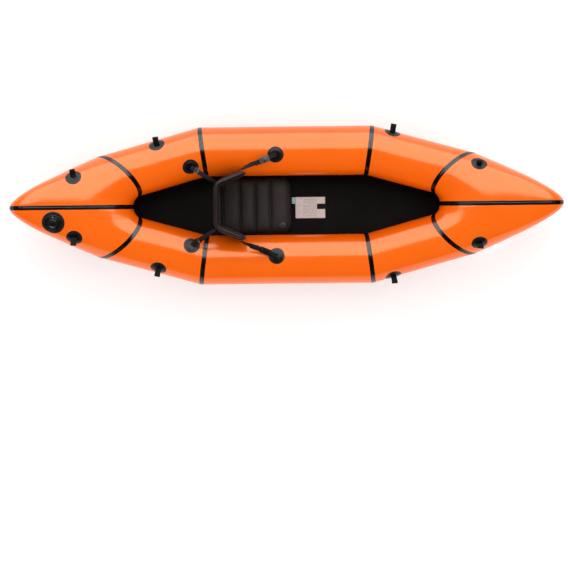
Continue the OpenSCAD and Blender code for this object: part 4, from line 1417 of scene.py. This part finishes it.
seat_trim(seat())
small_valve(Spot([SEAT_HIGH[0] - 0.034, SEAT_LOW[1] + 0.034, SEAT_HIGH[2] - 0.008], UPRIGHT),
            "seat_valve_boot", "seat_valve_stem", "hull", "seat_nozzle", ("seat_valve", "seat_valve_nozzle"))
keep_node("seat_grip_strips", M["webbing"])


# ---- Backrest ----
BACK_LOW, BACK_HIGH = (np.array(v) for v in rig.box("backrest_pad"))
BACK_T = 0.022
BACK_R = 0.040
PIPING_R = 0.0029
WING_L = 0.115
WING_YAW = math.radians(22)
WING_U = np.array([math.cos(WING_YAW), math.sin(WING_YAW)])
WING_N = np.array([-math.sin(WING_YAW), math.cos(WING_YAW)])
BACK_HUB = np.array([BACK_LOW[0] + BACK_R, 0.075])


def back_plan(count, grow=0.0, front=0.0):
    """Middle line of the bent pad in plan, from the starboard wing round the back to port."""
    r = BACK_R - BACK_T / 2 + grow
    a = np.radians(np.linspace(112, 180, 16))[:, None]
    tip = BACK_HUB + r * WING_N + (WING_L - front) * WING_U
    arc = BACK_HUB + r * np.concatenate([np.cos(a), np.sin(a)], 1)
    port = np.concatenate([[tip], arc])
    line = np.concatenate([port * [1, -1], [[BACK_HUB[0] - r, 0.0]], port[::-1]])
    return respaced(line, count)


def plan_normal(line):
    step = unit(np.gradient(line, axis=0))
    return xyz(-step[:, 1], step[:, 0], 0)


def back_lower(x):
    return BACK_LOW[2] + 0.0005 + np.interp(x - BACK_HUB[0], (0.006, 0.038, 0.100), (0, 0.057, 0.091))


def back_crown(run, total):
    """The top edge dips towards the wings' ends and rounds over at their corners."""
    end = np.minimum(run, total - run)
    return BACK_HIGH[2] - 0.010 * np.exp(-end / 0.05) - 0.020 * np.clip(1 - end / 0.024, 0, 1) ** 2.2


def backrest():
    line, run = back_plan(97)
    total = run[-1]
    share = np.linspace(0, 1, 45)
    share = 0.5 - 0.5 * np.cos(math.pi * share) * (1 - 0.25 * np.sin(math.pi * share))
    low, high = back_lower(line[:, 0]), back_crown(run, total)
    z = low[:, None] + (high - low)[:, None] * share[None, :]
    near_end = np.minimum(run, total - run)[:, None]
    near_side = np.minimum(z - low[:, None], high[:, None] - z)
    gap = np.minimum(near_end, near_side)
    thick = BACK_T / 2 * np.sqrt(np.clip(1 - (1 - np.clip(gap / 0.021, 0, 1)) ** 2, 0, 1))
    for weld_y in (-0.056, 0.056):
        at = np.where(line[:, 0] < BACK_LOW[0] + 0.03, np.abs(line[:, 1] - weld_y), 1)[:, None]
        rise = z - low[:, None]
        sewn = np.clip((rise - 0.035) / 0.01, 0, 1) * np.clip((0.125 - rise) / 0.01, 0, 1)
        thick = thick * (1 - 0.5 * sewn * np.exp(-((at / 0.006) ** 2)))
    shape = xyz(line[:, None, 0], line[:, None, 1], z)
    swell = plan_normal(line)[:, None] * thick[..., None]
    pad = pillow("backrest_cushion", shape + swell, shape - swell, M["back"])
    co = vertices(pad)
    rim = np.concatenate([shape[:, 0], shape[:, -1], shape[0], shape[-1]])
    seam = {tuple(v) for v in np.round(rim, 5)}
    pinned = [k for k, v in enumerate(np.round(co, 5)) if tuple(v) in seam]
    inflate(pad, 3.0, pinned, 0.003)
    co = vertices(pad)
    away = unit(co * [1, 1, 0] - [BACK_HUB[0] + 0.03, 0, 0])
    co += away * (bumpiness(co * [1.0, 1.0, 0.35], 0.022, 41) * 0.0007)[:, None]
    co[:, 0] = np.maximum(co[:, 0], BACK_LOW[0] - 0.0012)
    move_vertices(pad, co)
    subdivide(pad)
    finish_piece(pad, "backrest", "back_fabric", "backrest_pad")
    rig.padded(pad, fill=0.8)
    return pad


def back_piping():
    """Round piping over the seam all round the pad."""
    line, run = back_plan(120)
    x, y = line.T
    high, low = back_crown(run, run[-1]), back_lower(x)
    tall = np.linspace(high[0], low[0], 28)[1:-1]
    loop = np.concatenate([
        xyz(x, y, high + 0.0022), xyz(x[-1], y[-1], tall),
        xyz(x, y, low - 0.0004)[::-1], xyz(x[0], y[0], tall)[::-1]])
    path, _ = respaced(loop, 480, closed=True)
    for _ in range(3):
        path = (np.roll(path, 1, 0) + 2 * path + np.roll(path, -1, 0)) / 4
    tangent = unit(np.roll(path, -1, 0) - np.roll(path, 1, 0))
    a = unit(np.cross(tangent, path - [BACK_HUB[0] + 0.03, 0, 0.2]))
    b = np.cross(tangent, a)
    turn = (np.arange(12) * math.pi / 6)[None, :, None]
    rings = path[:, None] + PIPING_R * (np.cos(turn) * a[:, None] + np.sin(turn) * b[:, None])
    piping = mesh_object("backrest_binding", rings, loop_faces(*rings.shape[:2]), M["piping"])
    finish_piece(face_out(piping), "backrest", "back_fabric", "backrest_piping")


BAND_Z = 0.262
STRAP_W = 0.020
STRAP_T = 0.0016


def back_band(pad):
    """Webbing sewn round the back of the pad."""
    tree = skin_tree([pad])
    line, _ = back_plan(150, grow=0.03, front=0.006)
    normal = plan_normal(line)
    points = []
    for (x, y), n in zip(line, normal):
        rows = [tree.ray_cast(Vector((x, y, BAND_Z + h)), Vector(-n), 0.05)[0] for h in (-0.008, 0, 0.008)]
        reach = [(r - Vector((x, y, r.z))).length for r in rows if r is not None]
        points.append([x, y, BAND_Z] - n * (min(reach, default=0.0195) - 0.0012))
    points = np.array(points)
    for _ in range(2):
        points[1:-1] = (points[:-2] + 2 * points[1:-1] + points[2:]) / 4
    band = ribbon("backrest_webbing", points, np.broadcast_to(UP, points.shape), STRAP_W, STRAP_T)
    finish_piece(band, "backrest", "webbing", "backrest_band")
    rows = [stitches("band_thread", points + normal * 0.0011 + UP * h, normal) for h in (-0.0078, 0.0078)]
    finish_piece(join("backrest_band_threads", rows), "backrest", "webbing")


PAD = backrest()
back_piping()
back_band(PAD)
BACK_VALVE = Spot([BACK_LOW[0] + 0.009, 0.040, BACK_LOW[2] + 0.050], [[0, 1, 0], [0, 0, -1], [-1, 0, 0]])
small_valve(BACK_VALVE, "back_valve_boot", "back_valve_stem", "backrest", "backrest_nozzle",
            ("backrest_valve", "backrest_valve_nozzle"))


# ---- Straps and buckles ----
STRAP_OFF = BACK_R + 0.0065
TAB_Z = 4.4      # height of an anchor tab over its patch, in mm


def along(origin, target, corner):
    """Spot at origin with X towards target and Y level, and the distance in millimetres."""
    reach = np.asarray(target) - origin
    v = unit(reach)
    y = unit(np.array([-v[1], v[0], 0]))
    return Spot(origin, [v, y, np.cross(v, y)], corner), float(np.linalg.norm(reach)) * 1000


def fore_spot(side):
    target = [*(BACK_HUB + STRAP_OFF * WING_N + (WING_L - 0.014) * WING_U), BAND_Z]
    return along(FORE_STRAP[0], target, (1, side))


def aft_spot(side):
    a = math.radians(140)
    target = [-BACK_HUB[0] - STRAP_OFF * math.cos(a), BACK_HUB[1] + STRAP_OFF * math.sin(a), BAND_Z]
    return along(AFT_STRAP[0], target, (-1, side))


def spot_ribbon(name, spot, points, rolls, width=STRAP_W, thick=STRAP_T, count=60):
    """Webbing through local points in millimetres, level at roll 0."""
    path = smooth_path(np.array(points) / 1000, count)
    roll = np.radians(smooth_path(np.array(rolls, float)[:, None], count)[:, 0])
    return ribbon(name, spot(path), spot.turn(xyz(0, np.cos(roll), np.sin(roll))), width, thick)


def anchor(spot, start, stop):
    """Webbing tab sewn to its patch: it leaves the slot, turns over and runs back to the buckle."""
    tab = spot_ribbon("anchor_tab", spot, [
        (start - 3, 0, -1.5), (start - 2, 0, 1.5), (start + 3, 0, TAB_Z + 0.2),
        ((start + stop) / 2, 0.3, TAB_Z + 1.2), (stop - 4, 0.1, TAB_Z + 1.0), (stop, 0, TAB_Z + 0.9),
    ], [0, 0, 0, 2, 0, 0])
    rows = []
    for h in (4, 6.5):
        line = xyz(start + h, np.linspace(-7.5, 7.5, 12), TAB_Z + 1.75) / 1000
        rows.append(stitches("tab_tack", spot(line), np.broadcast_to(spot.turn(UP), line.shape)))
    return tab, rows


FORE_START, FORE_LAP = 84.5, 147      # where the long strap leaves the plug, and its sewn lap, in mm


def fore_line(side, first, last, end, lift=0.0):
    """Line of the long strap from first to last (mm from its patch) and its roll, from flat to on edge."""
    share = np.linspace(first - FORE_START, last - FORE_START, 9) / (end - FORE_START)
    points, rolls = [], []
    for k, f in enumerate(np.clip(share, 0, 1)):
        roll = 82 * f**1.3 + 9 * side * math.sin(2 * math.pi * f)
        sway = (-2 - 0.9 * side) * math.sin(math.pi * f) + 0.6 * math.sin(5 * f) * (1 - f)
        height = 4 - 3 * math.sin(math.pi * f) - 4 * f
        off = lift * max(0, 1 - k / 4)
        turn = math.radians(roll)
        x = FORE_START + (end - FORE_START) * f
        points.append((x, sway - off * math.sin(turn), height + off * math.cos(turn)))
        rolls.append(roll)
    return points, rolls


def fore_strap(side):
    """Long strap from the buckle's plug to the backrest, in two lengths sewn together, so that one follows
    the plug and the other the backrest."""
    label = SIDES[side]
    spot, end = fore_spot(side)
    start, lap = FORE_START, FORE_LAP
    front = spot_ribbon("fore_web_" + label, spot, *fore_line(side, start, lap + 5, end), count=80)
    doubled = spot_ribbon("fore_web_fold_" + label, spot, [
        (start + 1, 0, 6.4), (start + 14, -1.2, 5.6), (start + 30, -3.4, 4.4), (start + 44, -5.0, 3.0),
    ], [0, 4, 18, 34])
    made = join("fore_strap_web_" + label, [front, doubled])
    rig.blend(made, "fore_plug_" + label, "hull", spot([0.101, 0, 0]), spot([(lap - 5) / 1000, 0, 0]))
    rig.slot(made, "webbing")
    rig.replaces(made, "fore_strap_" + label)
    rear = spot_ribbon("rear_web_" + label, spot, *fore_line(side, lap - 5, end, end, 1.7), count=50)
    keeper = spot_ribbon("fore_web_end_" + label, spot, [
        (end - 22, -4.9, 1.0), (end - 14, -3.4, 0.4), (end - 5, -2.0, 0.2), (end + 6, -1.9, 0.0),
    ], [66, 73, 79, 81])
    tail = join("rear_strap_web_" + label, [rear, keeper])
    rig.blend(tail, "hull", "backrest", spot([(lap + 5) / 1000, 0, 0]), spot([(end - 4) / 1000, 0, 0]))
    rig.slot(tail, "webbing")
    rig.replaces(tail, "fore_strap_" + label)


def fore_lead(side):
    label = SIDES[side]
    spot, _ = fore_spot(side)
    lead = spot_ribbon("fore_lead_web_" + label, spot, [
        (70, 0, -1.6), (76, 0, -2.6), (86, 0.3, -3.1), (94, 0.9, -4.2), (100, 1.4, -5.6),
    ], [0, 0, 1, -3, -6])
    finish_piece(lead, "fore_plug_" + label, "webbing", "fore_lead_" + label)


AFT_TUCK = 9      # how far the aft strap runs on behind the band, in mm


def aft_strap(side):
    spot, length = aft_spot(side)
    end = length + AFT_TUCK
    points, rolls = [], []
    for f in np.linspace(0, 1, 7):
        x = 51 + (end - 51) * f
        points.append((x, 0.6 * math.sin(4 * f + side), 4.5 - 4.5 * f + 6 * math.sin(math.pi * f)))
        rolls.append(-74 * f**2 + 5 * side * math.sin(math.pi * f))
    strap = spot_ribbon("aft_web", spot, points, rolls, count=80)
    line = [(50, 0, 3.2), (60, 0.2, 6.0), (74, 0.4, 7.6), (90, 0.7, 7.4)]
    fold = spot_ribbon("aft_web_fold", spot, line, [0, -2, -8, -22])
    return [strap, fold]


def soft_block(spot, low, high, soft, material=None):
    """Rounded block in a spot's frame, in millimetres."""
    bm = rounded_block(low, high, soft, 3)
    for v in bm.verts:
        v.co = Vector(spot(np.array(v.co) / 1000))
    bmesh.ops.recalc_face_normals(bm, faces=bm.faces)
    return bmesh_object("moulding", bm, material or M["buckle"], 40)


def strap_set():
    soften("fore_buckle_sockets", "socket_shells", M["buckle"], "buckle_plastic", "hull", 0.0008, 3)
    soften("aft_buckles", "ladder_frames", M["buckle"], "buckle_plastic", "hull", 0.0006, 3)
    tabs, threads, ribs = [], [], []
    for side, label in SIDES.items():
        spot, _ = fore_spot(side)
        for where, start, stop in ((spot, -2, 35), (aft_spot(side)[0], 4, 29)):
            tab, rows = anchor(where, start, stop)
            tabs.append(tab)
            threads += rows
        ribs += [soft_block(spot, (x, -9, 8.1), (x + 1.4, 9, 9.1), 0.35) for x in (36.5, 39.5, 42.5)]
        ribs.append(soft_block(spot, (52, -7, 8.2), (59, 7, 8.9), 0.3))
        plug = "fore_plug_" + label
        soften("fore_buckle_plug_" + label, "plug_moulding_" + label, M["buckle"],
               "buckle_plastic", plug, 0.0007, 3)
        grips = [soft_block(spot, (x, -12.5, 8.1), (x + 1.2, 12.5, 8.9), 0.3) for x in (76, 78.4)]
        grips.append(soft_block(spot, (63.5, -12, 8.1), (67, 12, 9.0), 0.4))
        finish_piece(join("plug_ribs_" + label, grips), plug, "buckle_plastic")
        fore_strap(side)
        fore_lead(side)
    finish_piece(join("anchor_tab_webs", tabs), "hull", "webbing", "strap_anchor_tabs")
    finish_piece(join("anchor_tab_threads", threads), "hull", "webbing")
    finish_piece(join("socket_ribs", ribs), "hull", "buckle_plastic")
    web = join("aft_strap_webs", [piece for side in SIDES for piece in aft_strap(side)])
    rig.blend(web, "hull", "backrest", np.array([-0.386, 0, 0.228]), np.array([-0.316, 0, 0.260]))
    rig.slot(web, "webbing")
    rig.replaces(web, "aft_straps")


strap_set()


# ---- Skeg ----
def skeg():
    low, high = (np.array(v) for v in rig.box("skeg"))
    back, front, top = low[0] + 0.002, high[0], -0.008
    depth = top - low[2]
    rows = []
    for f in np.linspace(0, 1, 40):
        drop = depth * f
        round_tip = math.sqrt(max(1 - max(0, (f - 0.72) / 0.28) ** 2, 0))
        rear = back + 0.013 * (1 - round_tip) - 0.003 * math.sin(math.pi * min(f / 0.8, 1)) + 0.001
        sweep = (front - back - 0.022) * (1 - math.cos(f * math.pi / 2)) ** 0.85
        lead = front - sweep - 0.010 * (1 - round_tip)
        chord = np.concatenate([np.linspace(0, 1, 22), np.linspace(1, 0, 22)[1:-1]])
        bulge = np.sqrt(np.clip(np.sin(math.pi * chord**0.62), 0, 1))
        half = 0.0033 * bulge * (1 - 0.45 * f) * max(round_tip, 0.12) + 0.0004
        half[22:] *= -1
        half[[0, 21]] = 0
        x = rear + (max(lead, rear + 0.004) - rear) * chord
        rows.append(xyz(x, half, top - drop))
    blade = tube_mesh("skeg_blade", rows, M["skeg"])
    here = Spot([0, 0, 0], UPRIGHT)
    rail = soft_block(here, (back * 1000 + 1, -9.7, -5), (front * 1000 - 1, 9.7, -2.4), 0.6, M["skeg"])
    web = soft_block(here, (back * 1000 + 1, -3.2, -9.5), (front * 1000 - 2, 3.2, -4), 0.4, M["skeg"])
    finish_piece(join("skeg_fin", [blade, rail, web]), "skeg", "skeg_plastic", "skeg")
    soften("skeg_base", "skeg_foot", M["skeg"], "skeg_plastic", "hull", 0.0015, 3)


skeg()


# ---- Card on the floor ----
def card():
    """Printed card lying on the floor with one corner lifted, held by a tab at its front."""
    low, high = (np.array(v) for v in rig.box("floor_card"))
    x = np.linspace(low[0], high[0], 50)[:, None]
    y = np.linspace(low[1], high[1], 36)[None, :]
    x, y = x + 0 * y, y + 0 * x
    lift = 0.0030 * np.clip((x - 0.120) / 0.055, 0, 1) ** 2 * np.clip((-0.01 - y) / 0.05, 0, 1)
    lift += 0.0016 * np.exp(-(((y - 0.036) / 0.012) ** 2)) * (0.5 + 0.5 * np.sin(x * 60))
    z = np.maximum(0.0014 + lift, FLOOR_T + 0.0002)
    ground = np.max(floor_relief(x, y)) + FLOOR_T + 0.0001
    z = z + max(0, ground - 0.0014)
    top = np.stack([x, y, z + 0.0004], -1)
    rings = np.concatenate([top, (top - [0, 0, 0.0004])[:, ::-1]], 1)
    u = np.concatenate([(y - low[1]) / (high[1] - low[1]), ((y - low[1]) / (high[1] - low[1]))[:, ::-1]], 1)
    v = np.concatenate([(x - low[0]) / (high[0] - low[0])] * 2, 1)
    sheet = tube_mesh("printed_card", rings, M["card"], np.stack([v, u], -1))
    finish_piece(sheet, "hull", "card_stock", "floor_card")
    level = ground * 1000
    low, high = (np.array(v) * 1000 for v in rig.box("floor_card_tag"))
    here = Spot([0, 0, 0], UPRIGHT)
    tag = soft_block(here, (low[0], low[1], level + 0.1), (high[0], high[1], level + 0.7), 0.25, M["tag"])
    finish_piece(tag, "hull", "tag_stock", "floor_card_tag")
    low, high = (np.array(v) * 1000 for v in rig.box("floor_card_tab"))
    points = [
        (low[0] - 2, 0, level + 1.2), (low[0] + 8, 0, level + 2.6),
        (high[0] - 10, 0.3, level + 2.4), (high[0] + 2, 0, level + 0.4),
    ]
    spot = Spot([0, (low[1] + high[1]) / 2000, 0], UPRIGHT)
    tab = spot_ribbon("card_tab", spot, points, [0, 3, -3, 0], width=0.024, thick=0.0009, count=30)
    finish_piece(tab, "hull", "webbing", "floor_card_tab")


card()


# ---- Stage, light and camera ----
def box_stage(name, low, high, soft, material):
    """Rounded block that isn't part of the object."""
    obj = bmesh_object(name, rounded_block(low, high, soft, 5), material)
    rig.stage(obj)


def stage_floor():
    pale = studio_floor()
    level = -SKEG_DEPTH - 0.0005
    box_stage("studio_floor", (-14, -14, level - 0.2), (14, 14, level), 0.01, pale)
    box_stage("display_stand", (-0.80, -0.19, level), (0.98, 0.19, -0.0004), 0.006, pale)


def softbox(name, place_at, aim, size, power, shows_in):
    """Rectangular light, seen only in reflections ("gloss") or only as plain lighting ("diffuse")."""
    data = bpy.data.lights.new(name, "AREA")
    data.shape = "RECTANGLE"
    data.size, data.size_y = size
    data.energy = power
    lamp = linked(name, data)
    lamp.location = place_at
    lamp.rotation_euler = (Vector(aim) - Vector(place_at)).to_track_quat("-Z", "Y").to_euler()
    lamp.visible_camera = False
    lamp.visible_diffuse = shows_in == "diffuse"
    lamp.visible_glossy = shows_in == "gloss"


def studio_light():
    world = bpy.data.worlds.new("studio")
    bpy.context.scene.world = world
    world.use_nodes = True
    background = world.node_tree.nodes["Background"]
    background.inputs["Color"].default_value = (1.0, 0.995, 0.985, 1)
    background.inputs["Strength"].default_value = WORLD_LEVEL
    world.cycles_visibility.glossy = False
    side, aim, size = (0, 2.05, 1.80), (0, 0, 0), (6.4, 4.2)
    softbox("side_reflector", side, aim, size, GLOSS_POWER, "gloss")
    softbox("side_softbox", side, aim, size, KEY_POWER, "diffuse")


def plan_camera():
    """Straight above the hull, framed like a catalogue picture with room below it."""
    data = bpy.data.cameras.new("plan")
    data.sensor_width = 36
    data.lens = PLAN_LENS
    camera = linked("plan", data)
    spot, aim = Vector((0, 0, 7.4)), Vector((-0.0156, -0.3515, 0.15))
    view = (aim - spot).normalized()
    right = Vector((math.cos(PLAN_TURN), -math.sin(PLAN_TURN), 0))
    up = right.cross(view).normalized()
    right = view.cross(up).normalized()
    camera.matrix_world = Matrix((
        (right.x, up.x, -view.x, spot.x),
        (right.y, up.y, -view.y, spot.y),
        (right.z, up.z, -view.z, spot.z),
        (0, 0, 0, 1),
    ))
    bpy.context.scene.camera = camera


WORLD_LEVEL = 0.98
GLOSS_POWER = 330
KEY_POWER = 85
PLAN_LENS = 103
PLAN_TURN = math.radians(0.62)
stage_floor()
studio_light()
plan_camera()
bpy.context.scene.view_settings.view_transform = "Standard"

VISUAL_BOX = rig.bounds()
SIZES = {
    "cad": [list(map(float, v)) for v in CAD_BOX],
    "visual": [list(map(float, v)) for v in VISUAL_BOX],
}
with open("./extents.json", "w") as out:
    json.dump(SIZES, out)
